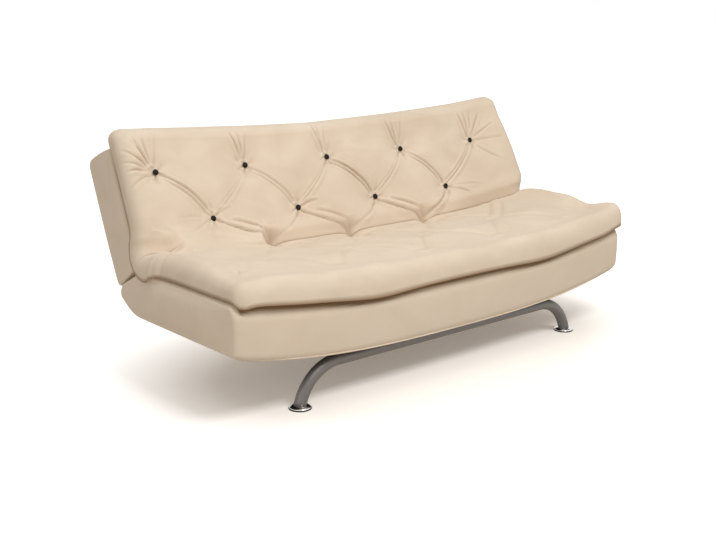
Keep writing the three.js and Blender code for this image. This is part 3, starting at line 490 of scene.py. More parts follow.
def nap_material(name, colour):
    """Cloth, leather or foam, by its row in the table."""
    patch_scale, patch_strength, fibre_scale, roughness, bump, gloss = NAPS[name]
    return new_material(name, nap_group(), {
        "Colour": (*colour, 1), "Patch Scale": patch_scale, "Patch Strength": patch_strength,
        "Fibre Scale": fibre_scale, "Roughness": roughness,
    }, bump, {"Specular IOR Level": gloss})


def cloth_material(name):
    """The beige microfibre of pad and boxes, with a soft sheen, and painted shade of darker brown in gaps and
    folds.
    """
    if name in bpy.data.materials:
        return bpy.data.materials[name]
    material = nap_material(name, bpy.context.scene.sofa_colours.cloth)
    tree = material.node_tree
    set_inputs(tree.nodes["Principled BSDF"], {
        "Sheen Weight": 0.25, "Sheen Roughness": 0.5, "Sheen Tint": (1, 0.96, 0.9, 1)})
    # Painted shade: reads each mesh's point attribute for how far to multiply in the dark brown.
    painted_shade = add_node(tree, "ShaderNodeAttribute", attribute_name="painted_shade")
    effect = next(node for node in tree.nodes if node.type == "GROUP")
    connect(tree, (painted_shade, "Fac", effect, "Recess"))
    return material


def metal_material(name, colour):
    """Metal, paint or plastic with handling marks, by its row in the table."""
    roughness, smear, metallic, scale = METALS[name]
    return new_material(name, wear_group(), {
        "Colour": (*colour, 1), "Scale": scale, "Roughness": roughness, "Smear": smear,
    }, (0.12, 0.0002), {"Metallic": metallic})


def dress(piece, material):
    """Gives a piece its one material."""
    piece.data.materials.clear()
    piece.data.materials.append(material)
    return piece


# The quilted pad

def tuft_sites():
    """The nine buttons as place along the length and height up the back, upper row first."""
    upper = [(column_place(column), UPPER_ROW) for column in WIDE_ROW]
    lower = [(column_place(column), LOWER_ROW) for column in NARROW_ROW]
    return upper, lower


def quilt_place(x, along, lift):
    """A point of the pad in depth and height.

    The pad's top follows a soft V about the line that halves the angle between seat and back:
    along that line's normal it runs with the distance along, and across it rises with the root of
    the distance squared and a softness squared. The softness grows where the crease is no line. The
    lift is added along a normal that turns from the seat's to the back's over the crease.
    """
    shape = bpy.context.scene.sofa_shape
    reach = (BACK_FRONT + shape.pad_thickness - BACK_SAG * sag_share(x)) / math.cos(HALF_TURN)
    softness = shape.crease_softness + 0.036 * (1 - crease_line(x))
    soft = np.sqrt(along ** 2 + softness ** 2)
    outward = along * math.cos(HALF_TURN)
    upward = reach + soft * math.sin(HALF_TURN)
    depth = HINGE_DEPTH + outward * math.cos(HALF_TURN) - upward * math.sin(HALF_TURN)
    height = HINGE_HEIGHT + outward * math.sin(HALF_TURN) + upward * math.cos(HALF_TURN)
    turn = smooth_step(along / 0.05 + 0.5) * 2 * HALF_TURN
    return depth - lift * np.sin(turn), height + lift * np.cos(turn)


def fold_distance(x, up, points):
    """How far each place is from a smooth line through chosen points, and on which side of it.

    The third result is how far along the line its nearest point is, from 0 to 1.
    """
    path = curve(*points, 18)
    best = np.full(x.shape, 9.0)
    side = np.zeros(x.shape)
    share = np.zeros(x.shape)
    for index in range(len(path) - 1):
        start, step = path[index], path[index + 1] - path[index]
        size = float(step @ step)
        offset_x, offset_up = x - start[0], up - start[1]
        reach = np.clip((offset_x * step[0] + offset_up * step[1]) / size, 0, 1)
        near = np.hypot(offset_x - reach * step[0], offset_up - reach * step[1])
        closer = near < best
        turn = np.sign(step[0] * offset_up - step[1] * offset_x)
        best = np.where(closer, near, best)
        side = np.where(closer, turn, side)
        share = np.where(closer, (index + reach) / (len(path) - 1), share)
    return best, side, share


def fold(x, up, points, depth, width):
    """A crease in cloth: a narrow valley with a low ridge on both sides, that fades at its ends."""
    low = np.min(points, axis=0) - 4 * width
    high = np.max(points, axis=0) + 4 * width
    inside = (x > low[0]) & (x < high[0]) & (up > low[1]) & (up < high[1])
    result = np.zeros(x.shape)
    if not inside.any():
        return result
    distance, side, share = fold_distance(x[inside], up[inside], points)
    valley = bell(distance, width)
    ridge = 0.55 * bell(distance - 2.1 * width, 1.5 * width) * (1 + 0.35 * side)
    fade = np.sin(math.pi * np.clip(share * 0.92 + 0.04, 0, 1)) ** 0.6
    result[inside] = depth * fade * (ridge - valley)
    return result


def straight(start, end, bulge=(0.0, 0.0)):
    """Three points for a fold from start to end, whose middle is moved by the bulge."""
    middle = ((start[0] + end[0]) / 2 + 2 * bulge[0], (start[1] + end[1]) / 2 + 2 * bulge[1])
    return start, middle, end


def ray(site, run, rise, share, bulge=(0.0, 0.0)):
    """Three points for a fold that leaves a button, from a share of the way to the whole way."""
    x, up = site
    return straight((x + run * share, up + rise * share), (x + run, up + rise), bulge)


def back_folds():
    """The folds of the back, each as three points in length and height, a depth and a width."""
    upper, lower = tuft_sites()
    folds = []
    for (ax, au), (bx, bu), strength in zip(upper, lower, (1.0, 0.55, 1.25, 0.85)):
        first = straight((ax + 0.014, au - 0.006), (bx - 0.002, bu + 0.018), (0.009, 0.009))
        second = straight((ax + 0.020, au - 0.024), (bx - 0.018, bu + 0.014), (0.006, 0.005))
        folds.append((first, 0.0062 * strength, 0.0046))
        folds.append((second, 0.0040 * strength, 0.0042))
    for (ax, au), (bx, bu), strength in zip(upper[1:], lower, (0.4, 0.6, 0.7, 1.3)):
        first = straight((ax - 0.006, au - 0.016), (bx + 0.016, bu + 0.014), (0.004, -0.005))
        folds.append((first, 0.0045 * strength, 0.0046))
        second = straight((ax - 0.020, au - 0.018), (bx + 0.004, bu + 0.024), (0.004, -0.006))
        folds.append((second, 0.0030 * strength, 0.0042))
    for index, (ax, au) in enumerate(upper):
        for lean, strength in ((-0.052, 1.0), (-0.024, 0.75), (0.018, 0.45)):
            wander = 0.010 * math.sin(2.1 * index + 30 * lean)
            end = (ax + lean + wander, au + 0.128)
            above = straight((ax + lean * 0.1, au + 0.012), end, (0.3 * wander, 0.0))
            folds.append((above, 0.0042 * strength, 0.0046))
    for run, rise, strength in (
            (-0.075, 0.120, 0.9), (-0.105, 0.085, 1.0), (-0.120, 0.045, 0.8), (-0.115, 0.010, 1.0),
            (-0.110, -0.045, 0.5)):
        folds.append((ray(upper[0], run, rise, 0.12, (0.0, 0.006)), 0.0045 * strength, 0.0048))
    for run, rise, strength in (
            (0.070, 0.115, 0.8), (0.120, 0.060, 0.6), (0.140, -0.010, 0.5), (0.110, -0.110, 0.6)):
        folds.append((ray(upper[4], run, rise, 0.12), 0.0042 * strength, 0.0052))
    for button, strength in ((0, 1.1), (1, 0.9), (2, 1.2)):
        bx, bu = lower[button]
        end = (TUCKS[button] - 0.014, 0.106)
        folds.append((straight((bx + 0.012, bu - 0.014), end, (-0.004, -0.004)), 0.0060 * strength, 0.0056))
        beside = straight((bx + 0.080, bu - 0.018), (end[0] + 0.012, end[1] + 0.020), (0.004, 0.004))
        folds.append((beside, 0.0040 * strength, 0.0054))
    for button, tuck, strength in ((1, 0, 0.35), (2, 1, 0.5), (3, 2, 1.2)):
        bx, bu = lower[button]
        first = straight((bx - 0.002, bu - 0.018), (TUCKS[tuck] + 0.016, 0.106), (0.014, -0.008))
        folds.append((first, 0.0062 * strength, 0.0052))
    for button, run, rise, strength in (
            (1, 0.095, 0.018, 0.8), (0, 0.080, 0.030, 0.4), (3, 0.130, -0.055, 0.7), (3, 0.200, -0.020, 0.4),
            (0, -0.120, -0.060, 0.5), (0, -0.150, 0.010, 0.35)):
        folds.append((ray(lower[button], run, rise, 0.15, (0.0, 0.006)), 0.0042 * strength, 0.0050))
    return folds


def back_quilt(x, up):
    """Height of the back's quilting: pits at the buttons with pleats round them, and the folds."""
    shape = bpy.context.scene.sofa_shape
    height = slow_waves(x, up, seed=5, height=0.0022)
    upper, lower = tuft_sites()
    for index, (site_x, site_up) in enumerate(upper + lower):
        across, above = x - site_x, up - site_up
        distance = np.hypot(across, above)
        near = np.sqrt(distance ** 2 + 0.010 ** 2)
        height = height - shape.tuft_depth * np.exp(-(near / 0.050) ** 1.25) * 1.14
        pleat = np.cos(6 * np.arctan2(above, across) + 1.3 * index)
        height = height + 0.0022 * pleat * bell(distance - 0.030, 0.022)
    for points, depth, width in back_folds():
        height = height + fold(x, up, points, depth * shape.fold_strength, width)
    return height


def seat_quilt(x, depth):
    """Height of the seat's quilting: soft dimples in rows and slow waves, depth from the front."""
    shape = bpy.context.scene.sofa_shape
    height = slow_waves(x, depth, seed=11, height=0.0026)
    for row_depth, columns, drop, width in SEAT_ROWS:
        for column in columns:
            distance = np.hypot((x - column_place(column)) / 1.35, depth - row_depth)
            height = height - drop * np.exp(-(distance / width) ** 1.25)
    height = height + 0.003 + 0.010 * smooth_step((x - 0.865) / 0.075)
    height = height - 0.024 * bell(depth - 0.145, 0.075) * smooth_step((x - 0.74) / 0.15)
    folds = [(straight((0.745, 0.545), (0.575, 0.380), (0.010, 0.004)), 0.0055, 0.011),
             (straight((0.800, 0.520), (0.590, 0.330), (0.012, 0.004)), 0.0050, 0.012),
             (straight((-0.905, 0.500), (-0.800, 0.560)), 0.0045, 0.008)]
    for column, strength in zip(NARROW_ROW, (0.6, 0.8, 1.0, 1.0)):
        site_x = column_place(column)
        for run in (-0.185, 0.185):
            ahead = straight((site_x + run * 0.1, 0.340), (site_x + run * 0.92, 0.160), (run * 0.06, 0.0))
            folds.append((ahead, 0.0050 * strength, 0.015))
    for place, strength in zip(TUCKS, (0.7, 0.8, 1.0)):
        for run in (-0.160, 0.150):
            behind = straight((place + run * 0.12, 0.555), (place + run, 0.385), (run * 0.10, 0.0))
            folds.append((behind, 0.0046 * strength, 0.012))
    for points, fold_depth, width in folds:
        height = height + fold(x, depth, points, fold_depth * shape.fold_strength, width)
    return height


def crease_line(x):
    """How sharply the crease shows along the length, from 0 to 1.

    It is a tight fold at the left end, a soft valley up to the first tuck, and a line from there on.
    """
    left = smooth_step((-0.79 - x) / 0.07)
    right = smooth_step((x + 0.46) / 0.05)
    return left + right


def crease_depth(x):
    """Depth of the crease's line: where it shows, and deeper towards the right end."""
    shape = bpy.context.scene.sofa_shape
    return crease_line(x) * (shape.crease_depth + 0.016 * smooth_step((x - 0.50) / 0.3))


def quilt_grid():
    """Places along the length and along the pad, close together at the edges and at the crease."""
    shape = bpy.context.scene.sofa_shape
    half = pad_half()
    spacing = 1 - np.cos(np.linspace(0, math.pi / 2, 13))
    edge = shape.roll_radius * spacing
    flat = half - shape.roll_radius
    x = np.concatenate([-half + edge, np.linspace(-flat, flat, 521)[1:-1], (half - edge)[::-1]])
    share = sag_share(x)[:, None]
    rise = np.interp(x, (-0.941, -0.576, -0.073, 0.349, 0.748, 0.919),
                     (0.010, 0.004, -0.006, 0.006, 0.022, 0.034))[:, None]
    growth = BACK_SAG * share * math.tan(HALF_TURN)
    crease_top = (BACK_FRONT + shape.pad_thickness) * math.tan(HALF_TURN)
    front = FRONT_OVERHANG + HINGE_DEPTH - SEAT_FRONT - crease_top + growth
    top = PAD_TOP - crease_top + growth + rise
    crease = CREASE_BAND * spacing
    middle_front = np.linspace(0, 1, 93)[1:-1]
    middle_back = np.linspace(0, 1, 141)[1:-1]
    low, high = -front + shape.roll_radius, top - shape.roll_radius
    along = np.concatenate([
        -front + edge[None, :],
        low + (-CREASE_BAND - low) * middle_front[None, :],
        np.repeat(-crease[::-1][None, :], len(x), axis=0),
        np.repeat(crease[None, 1:], len(x), axis=0),
        CREASE_BAND + (high - CREASE_BAND) * middle_back[None, :],
        top - edge[::-1][None, :],
    ], axis=1)
    return np.repeat(x[:, None], along.shape[1], axis=1), along, front, top


def simulated_shift(start, held):
    """How far each point of a sheet of cloth moves when filling presses on it from behind.

    Blender's cloth simulation runs for twenty frames on a sheet that is one part in a hundred too wide
    for its frame, without gravity. The held points stay.
    """
    scene = bpy.context.scene
    trial = put_mesh("cloth_trial", start, grid_faces(*held.shape), close=False)
    trial.vertex_groups.new(name="held").add(np.flatnonzero(held.ravel()).tolist(), 1.0, "REPLACE")
    cloth = trial.modifiers.new("cloth", "CLOTH")
    settings = cloth.settings
    settings.use_pressure = True
    settings.uniform_pressure_force = 4.0
    settings.effector_weights.gravity = 0
    settings.vertex_group_mass = "held"
    settings.shrink_min = -0.010
    settings.bending_stiffness = 0.5
    cloth.point_cache.frame_start = 1
    cloth.point_cache.frame_end = 20
    for frame in range(1, 21):
        scene.frame_set(frame)
    result = trial.evaluated_get(bpy.context.evaluated_depsgraph_get())
    moved = np.empty(start.size)
    result.data.vertices.foreach_get("co", moved)
    mesh = trial.data
    bpy.data.objects.remove(trial)
    bpy.data.meshes.remove(mesh)
    scene.frame_set(1)
    return moved.reshape(start.shape) - start


def spread(values, places, count):
    """Values known at some places along the first axis, blended in straight lines to all places."""
    index = np.arange(count)
    low = np.clip(np.searchsorted(places, index, side="right") - 1, 0, len(places) - 2)
    share = (index - places[low]) / (places[low + 1] - places[low])
    share = share.reshape((-1,) + (1,) * (values.ndim - 1))
    return values[low] * (1 - share) + values[low + 1] * share


def swollen(sheet, held, free, most=0.010):
    """The pad's upper sheet after a cloth simulation on every third row and column of its points.

    A shift is shortened smoothly towards the most that a point may move, and fades where the share
    that the cloth is free goes to 0, at the pad's rolled edges and beside the crease.
    """
    rows, columns = (np.unique(np.append(np.arange(0, size, 3), size - 1)) for size in held.shape)
    shift = simulated_shift(sheet[np.ix_(rows, columns)], held[np.ix_(rows, columns)])
    size = np.linalg.norm(shift, axis=-1, keepdims=True)
    shift = shift / (1 + (size / most) ** 4) ** 0.25
    along_rows = spread(shift, rows, held.shape[0])
    shift = np.swapaxes(spread(np.swapaxes(along_rows, 0, 1), columns, held.shape[1]), 0, 1)
    return sheet + free[..., None] * shift


def lip_droop(x):
    """How far the pad's front lip hangs down along the length: at its left corner and in two waves."""
    half = pad_half()
    waves = 0.003 + 0.013 * bell(x + 0.40, 0.17) + 0.012 * bell(x - 0.46, 0.17)
    fade = smooth_step((half - np.abs(x)) / np.where(x < 0, 0.30, 0.15))
    return waves * fade + 0.014 * bell(x + 0.955, 0.05)


def held_places(x, along, up, depth):
    """Where the upper sheet can't move: its seam, buttons, dimples, tucks and the crease's line."""
    held = (np.abs(along) < 0.010) & (crease_line(x) > 0.5)
    held[[0, -1]] = True
    held[:, [0, -1]] = True
    for site_x, site_up in sum(tuft_sites(), []):
        held |= np.hypot(x - site_x, up - site_up) < 0.018
    for row_depth, columns, _, _ in SEAT_ROWS[:2]:
        for column in columns:
            held |= np.hypot(x - column_place(column), depth - row_depth) < 0.020
    for place in TUCKS:
        held |= np.hypot(x - place, along) < 0.030
    return held


def crease_groove(x, along, seat_side):
    """How much thinner the filling is at the crease: its line, a hollow before it and the tucks."""
    groove = crease_depth(x) * (1 - roll(np.abs(along), 0.042, power=2.0))
    groove = groove + 0.010 * bell(along, 0.040) * crease_line(x)
    hollow = 0.009 * bell(along + 0.04, 0.06) * seat_side
    groove = groove + hollow * smooth_step((0.66 - np.abs(x)) / 0.15)
    for place in TUCKS:
        distance = np.sqrt((x - place) ** 2 + along ** 2 + 0.006 ** 2)
        sink = np.exp(-(distance / (0.030 + 0.050 * seat_side)) ** 1.3)
        groove = groove + bpy.context.scene.sofa_shape.tuck_depth * sink
    return groove


def seam_height(x, along, depth, seat_share, from_end, from_front):
    """Height of the pad's seam over the boxes: it droops at the lip and lifts at the right end."""
    droop = lip_droop(x) * bell(from_front, 0.030)
    lift = np.where(x < 0, 0.0, 0.018) * bell(from_end, 0.06) * bell(along + 0.150, 0.085)
    lift = lift - 0.032 * bell(along + 0.010, 0.045) * smooth_step((np.abs(x) - 0.86) / 0.08)
    lift = lift + 0.012 * smooth_step((x - 0.82) / 0.13) * bell(depth, 0.14)
    return 0.012 - 0.008 * seat_share - droop + lift


def bent_ends(x, bent_x, along, up, depth):
    """The places along the length with the right end's flare and the left end's tuck and pleats."""
    flare = np.where(
        along < 0, 0.012 + 0.016 * bell(along + 0.10, 0.08) + 0.006 * bell(depth - 0.05, 0.10),
        np.interp(up, (0.14, 0.20, 0.33, 0.48, 0.56), (0.048, 0.060, 0.044, 0.012, 0.006)))
    bent_x = bent_x + flare * smooth_step((x - 0.72) / 0.235) ** 2
    left_end = smooth_step((-x - 0.80) / 0.155) ** 2
    bent_x = bent_x - 0.024 * bell(along + 0.035, 0.070) * left_end
    for place, width in ((-0.035, 0.008), (-0.066, 0.007), (-0.105, 0.009), (0.020, 0.008)):
        bent_x = bent_x + 0.0034 * bell(along - place, width) * smooth_step((-x - 0.86) / 0.08)
    return bent_x


def make_quilt():
    """One pad over seat and back: an upper and a lower sheet that meet in a seam all round.

    The upper sheet's height is the seam's height plus the filling's height times a rounded edge on
    each side. The lower sheet lies flat and rises to the seam within a small radius.
    """
    shape = bpy.context.scene.sofa_shape
    x, along, front, top = quilt_grid()
    half = pad_half()
    from_end = half - np.abs(x)
    from_front = along + front
    from_top = top - along
    up = along + UP_AT_CREASE - BACK_SAG * sag_share(x) * math.tan(HALF_TURN)
    depth = along + front - FRONT_OVERHANG
    seat_share = 1 - smooth_step(along / 0.04 + 0.5)
    quilting = seat_share * seat_quilt(x, depth) + (1 - seat_share) * back_quilt(x, up)
    across = np.where(along < 0, -along / front, along / top)
    crown = shape.pad_crown * np.sin(math.pi * np.clip(across, 0, 1))
    groove = crease_groove(x, along, smooth_step(-along / 0.035))
    filling = shape.pad_thickness + crown + quilting - groove
    filling = filling - 0.016 * (1 - seat_share) * smooth_step((-x - 0.78) / 0.17)
    filling = filling - 0.020 * bell(np.hypot(x + 0.900, depth - 0.060), 0.060)
    filling = filling - 0.012 * bell(np.hypot(x + 0.860, along + 0.055), 0.080)
    edge = roll(from_end, np.where(x < 0, 0.055 + 0.030 * seat_share, 0.039))
    edge = edge * roll(from_front, shape.roll_radius) * roll(from_top, shape.roll_radius)
    lip = roll(from_end, 0.018, 2) * roll(from_front, 0.018, 2) * roll(from_top, 0.018, 2)
    seam = seam_height(x, along, depth, seat_share, from_end, from_front)
    upper_height = seam + (filling - seam) * edge
    under = np.minimum(0.0006 + (seam - 0.0006) * (1 - lip), seam)
    under = under + 0.009 * bell(from_front - 0.026, 0.016) * smooth_step(from_end / 0.05)
    lower_height = np.where((from_end == 0) | (from_front == 0) | (from_top == 0), seam, under)
    corner = 0.045
    beside = np.clip(1 - from_end / corner, 0, 1)
    beyond = np.clip(1 - np.minimum(from_front, from_top) / corner, 0, 1)
    inward = np.where(from_front < from_top, 1, -1)
    bent_x = x - np.sign(x) * corner * beside * (1 - np.sqrt(1 - beyond ** 2 / 2))
    bent_along = along + inward * corner * beyond * (1 - np.sqrt(1 - beside ** 2 / 2))
    bent_x = bent_ends(x, bent_x, along, up, depth)
    sheets = []
    for level in (upper_height, lower_height):
        place_depth, place_height = quilt_place(bent_x, bent_along, level - shape.pad_thickness)
        sheets.append(np.stack([bent_x, place_depth, place_height], axis=-1))
    from_edge = np.minimum(np.minimum(from_end, from_front), from_top)
    free = smooth_step(from_edge / 0.13) * (1 - crease_line(x) * bell(along, 0.055))
    sheets[0] = swollen(sheets[0], held_places(x, along, up, depth), free)
    rows, columns = x.shape
    faces = grid_faces(rows, columns) + grid_faces(rows, columns, first=rows * columns)
    # Painted shade: the cloth is darkened where the filling lies lower than around it, in folds and pits,
    # and along the seam where the pad rests on the boxes, as a painted shadow line.
    around = sum(np.roll(filling, step, axis) for step in (-3, 3) for axis in (0, 1)) / 4
    painted_shade = np.clip((around - filling) / 0.0030, 0, 1) * edge * np.where(along < 0, 0.15, 0.36)
    resting = np.maximum(seat_share, smooth_step(-x / 0.05) * smooth_step(from_top / 0.2))
    painted_shade = painted_shade * (1 - 0.7 * smooth_step((-x - 0.62) / 0.1) * bell(along - 0.05, 0.12))
    painted_seam_shadow = resting * (1 - smooth_step(edge / 0.13))
    piece = put_mesh("quilted_pad", np.stack(sheets), faces, painted_shade=np.stack([painted_shade + painted_seam_shadow, painted_seam_shadow]))
    thin_out(piece, x.size)
    piece.data.set_sharp_from_angle(angle=math.radians(58))
    return piece


def thin_out(piece, first):
    """Joins the faces of the lower sheet where they are flat, because nothing of them shows."""
    work = bmesh.new()
    work.from_mesh(piece.data)
    work.verts.ensure_lookup_table()
    hidden = [face for face in work.faces if all(vertex.index >= first for vertex in face.verts)]
    inner = list({vertex for face in hidden for vertex in face.verts})
    bmesh.ops.dissolve_limit(
        work, angle_limit=math.radians(1), use_dissolve_boundaries=False, verts=inner, edges=[],
        delimit=set())
    work.to_mesh(piece.data)
    work.free()


# Upholstered boxes

def seat_outline():
    """The seat box's outline at its ends, in depth from its front face and height."""
    hinge = np.array([HINGE_RUN, HINGE_HEIGHT])
    radius = NOSE_RADIUS
    low_angle = -14
    under_end = 0.604
    low = hinge + radius * np.array([math.cos(math.radians(low_angle)), math.sin(math.radians(low_angle))])
    high = hinge + radius * np.array([math.cos(SEAM_SLOPE), math.sin(SEAM_SLOPE)])
    slope = (SEAT_TOP - high[1]) * math.tan(SEAM_SLOPE)
    corner = np.array([high[0] - slope, SEAT_TOP])
    before = corner + 0.3 * (high - corner)
    after = corner - (0.05, 0)
    edge = 0.022
    brow = arc((0, 0), 1, 90, 180, 13) * (EDGE_DEPTH, EDGE_HEIGHT) + (EDGE_DEPTH, SEAT_TOP - EDGE_HEIGHT)
    return np.concatenate([
        line((edge, SEAT_BOTTOM), (under_end, SEAT_BOTTOM), 30),
        curve((under_end, SEAT_BOTTOM), (low[0] - radius, SEAT_BOTTOM), low, 12)[1:],
        arc(hinge, radius, low_angle, math.degrees(SEAM_SLOPE), 14)[1:],
        line(high, before, 5)[1:],
        curve(before, corner, after, 10)[1:],
        line(after, (EDGE_DEPTH, SEAT_TOP), 24)[1:],
        brow[1:],
        line((0, SEAT_TOP - EDGE_HEIGHT), (0, SEAT_BOTTOM + edge), 12)[1:],
        arc((edge, SEAT_BOTTOM + edge), edge, 180, 270, 9)[1:-1],
    ])


def back_outline():
    """The back box's outline at its ends, in depth and height on the hinge axis."""
    def toe(depth):
        return (TOE_HEIGHT - depth * math.sin(TOE_TILT)) / math.cos(TOE_TILT)

    rear = BACK_THICKNESS - BACK_FRONT
    heel = rear - 0.014
    top_radius = 0.034
    sole = (heel - 0.020, toe(heel - 0.020))
    ankle = (heel + 0.0047, toe(heel) + 0.040)
    brow = (-BACK_FRONT + 0.017, BACK_HEIGHT - 0.004)
    cheek = (-BACK_FRONT, BACK_HEIGHT - 0.017)
    return np.concatenate([
        line((-BACK_FRONT, toe(-BACK_FRONT)), sole, 16),
        curve(sole, (heel, toe(heel)), ankle, 9)[1:],
        curve(ankle, (rear, BACK_HEIGHT / 4), (rear, BACK_HEIGHT / 2), 10)[1:],
        line((rear, BACK_HEIGHT / 2), (rear, BACK_HEIGHT - top_radius), 12)[1:],
        arc((rear - top_radius, BACK_HEIGHT - top_radius), top_radius, 0, 90, 10)[1:],
        line((rear - top_radius, BACK_HEIGHT), brow, 10)[1:],
        curve(brow, (-BACK_FRONT, BACK_HEIGHT - 0.004), cheek, 6)[1:],
        line(cheek, (-BACK_FRONT, toe(-BACK_FRONT)), 24)[1:-1],
    ])


def drawn_in(outline, distance):
    """An outline moved inwards by a distance, along the mean of the normals beside each point."""
    ahead = np.roll(outline, -1, axis=0) - outline
    ahead = ahead / np.linalg.norm(ahead, axis=1, keepdims=True)
    inward = np.stack([-ahead[:, 1], ahead[:, 0]], axis=-1)
    mean = inward + np.roll(inward, 1, axis=0)
    mean /= np.linalg.norm(mean, axis=1, keepdims=True)
    return outline + distance * mean


def box_rings(outline, from_seam, longer, end_radius, end_inset):
    """Outline rings along the length, rounded at both ends over a quarter of an ellipse.

    Close to the seam between seat and back, the ends are drawn in only a little, so that the seam
    stays narrow up to the end.
    """
    half = bpy.context.scene.sofa_shape.half_length + longer
    angle = np.linspace(0, math.pi / 2, 9)
    share = 0.3 + 0.7 * smooth_step(from_seam / 0.10)[:, None]
    places = half - end_radius * (1 - np.cos(angle))
    narrow = end_inset * (1 - np.sin(angle))
    left = [(-place, drawn_in(outline, inset * share)) for place, inset in zip(places, narrow)]
    flat = half - end_radius
    middle = [(place, outline) for place in np.linspace(-flat, flat, 120)[1:-1]]
    right = [(-place, ring) for place, ring in reversed(left)]
    rings = left + middle + right
    x = np.array([place for place, _ in rings])
    return np.repeat(x[:, None], len(outline), axis=1), np.stack([ring for _, ring in rings])


def seat_sag(x, height):
    """How far the seat box sags: its bottom sags more than its top, in proportion between them."""
    level = np.clip((height - SEAT_BOTTOM) / (SEAT_TOP - SEAT_BOTTOM), None, 1)
    return sag_share(x) * (SEAT_BOTTOM_SAG + (SEAT_TOP_SAG - SEAT_BOTTOM_SAG) * level)


def seat_place(x, depth, height):
    """Puts seat points, in depth from the front face and height, in the sofa's frame."""
    return np.stack([x, depth + SEAT_FRONT, height - seat_sag(x, height)], axis=-1)


def back_place(x, depth, height):
    """Puts back points, in depth and height on the hinge axis, in the sofa's frame."""
    depth = depth + BACK_SAG * sag_share(x)
    return np.stack([
        x + 0 * depth,
        HINGE_DEPTH + depth * math.cos(LEAN) + height * math.sin(LEAN),
        HINGE_HEIGHT - depth * math.sin(LEAN) + height * math.cos(LEAN),
    ], axis=-1)


# Operators

def length_property(name, description, default, **limits):
    """A length in metres, shown in the scene's units."""
    return FloatProperty(name=name, description=description, default=default, unit="LENGTH",
                         subtype="DISTANCE", **limits)


class SofaShape(bpy.types.PropertyGroup):
    """Sizes of the sofa bed that a user may change."""

    half_length: length_property("Half Length", "From the middle to one end of the boxes", 0.950, min=0.5)
    pad_thickness: length_property(
        "Pad Thickness", "Thickness of the quilted pad before its crown", 0.092, min=0.03)
    pad_crown: length_property("Pad Crown", "How far the pad's middle stands above its edges", 0.008)
    roll_radius: length_property("Edge Radius", "Radius of the pad's rolled edges", 0.060, min=0.01)
    crease_softness: length_property("Crease Softness", "How softly seat and back meet", 0.012)
    crease_depth: length_property("Crease Depth", "Depth of the crease between seat and back", 0.022)
    tuck_depth: length_property("Tuck Depth", "How much deeper the crease is at its tucks", 0.042)
    tuft_depth: length_property("Tuft Depth", "Depth of the pits that the buttons draw in", 0.030)
    fold_strength: FloatProperty(
        name="Fold Strength", description="Depth of all folds, 1 as built", default=1.0, min=0, max=2,
        subtype="FACTOR")
    button_radius: length_property("Button Radius", "Radius of a button", 0.0110)
    tube_radius: length_property("Tube Radius", "Outer radius of the leg tubes", 0.0215)


def colour_property(name, description, default):
    """A colour as written in linear light."""
    return FloatVectorProperty(name=name, description=description, default=default, min=0, max=1,
                               size=3, subtype="COLOR")


class SofaColours(bpy.types.PropertyGroup):
    """Colours of the sofa bed that a user may change."""

    cloth: colour_property("Cloth", "Colour of the beige microfibre", (0.745, 0.622, 0.490))
    button: colour_property("Buttons", "Colour of the dark buttons", (0.010, 0.005, 0.003))
    tube: colour_property("Tube", "Colour of the painted leg tubes", (0.165, 0.152, 0.142))
    chrome: colour_property("Feet", "Colour of the bright feet", (0.80, 0.80, 0.80))
    glide: colour_property("Glides", "Colour of the dark glides", (0.022, 0.018, 0.016))
    timber: colour_property("Timber", "Colour of the softwood frames", (0.60, 0.40, 0.20))
    foam: colour_property("Foam", "Colour of the foam filling", (0.78, 0.70, 0.50))
    lining: colour_property("Lining", "Colour of the dust cover", (0.030, 0.028, 0.027))
    steel: colour_property("Steel", "Colour of hinge arms, pawls and springs", (0.42, 0.42, 0.43))


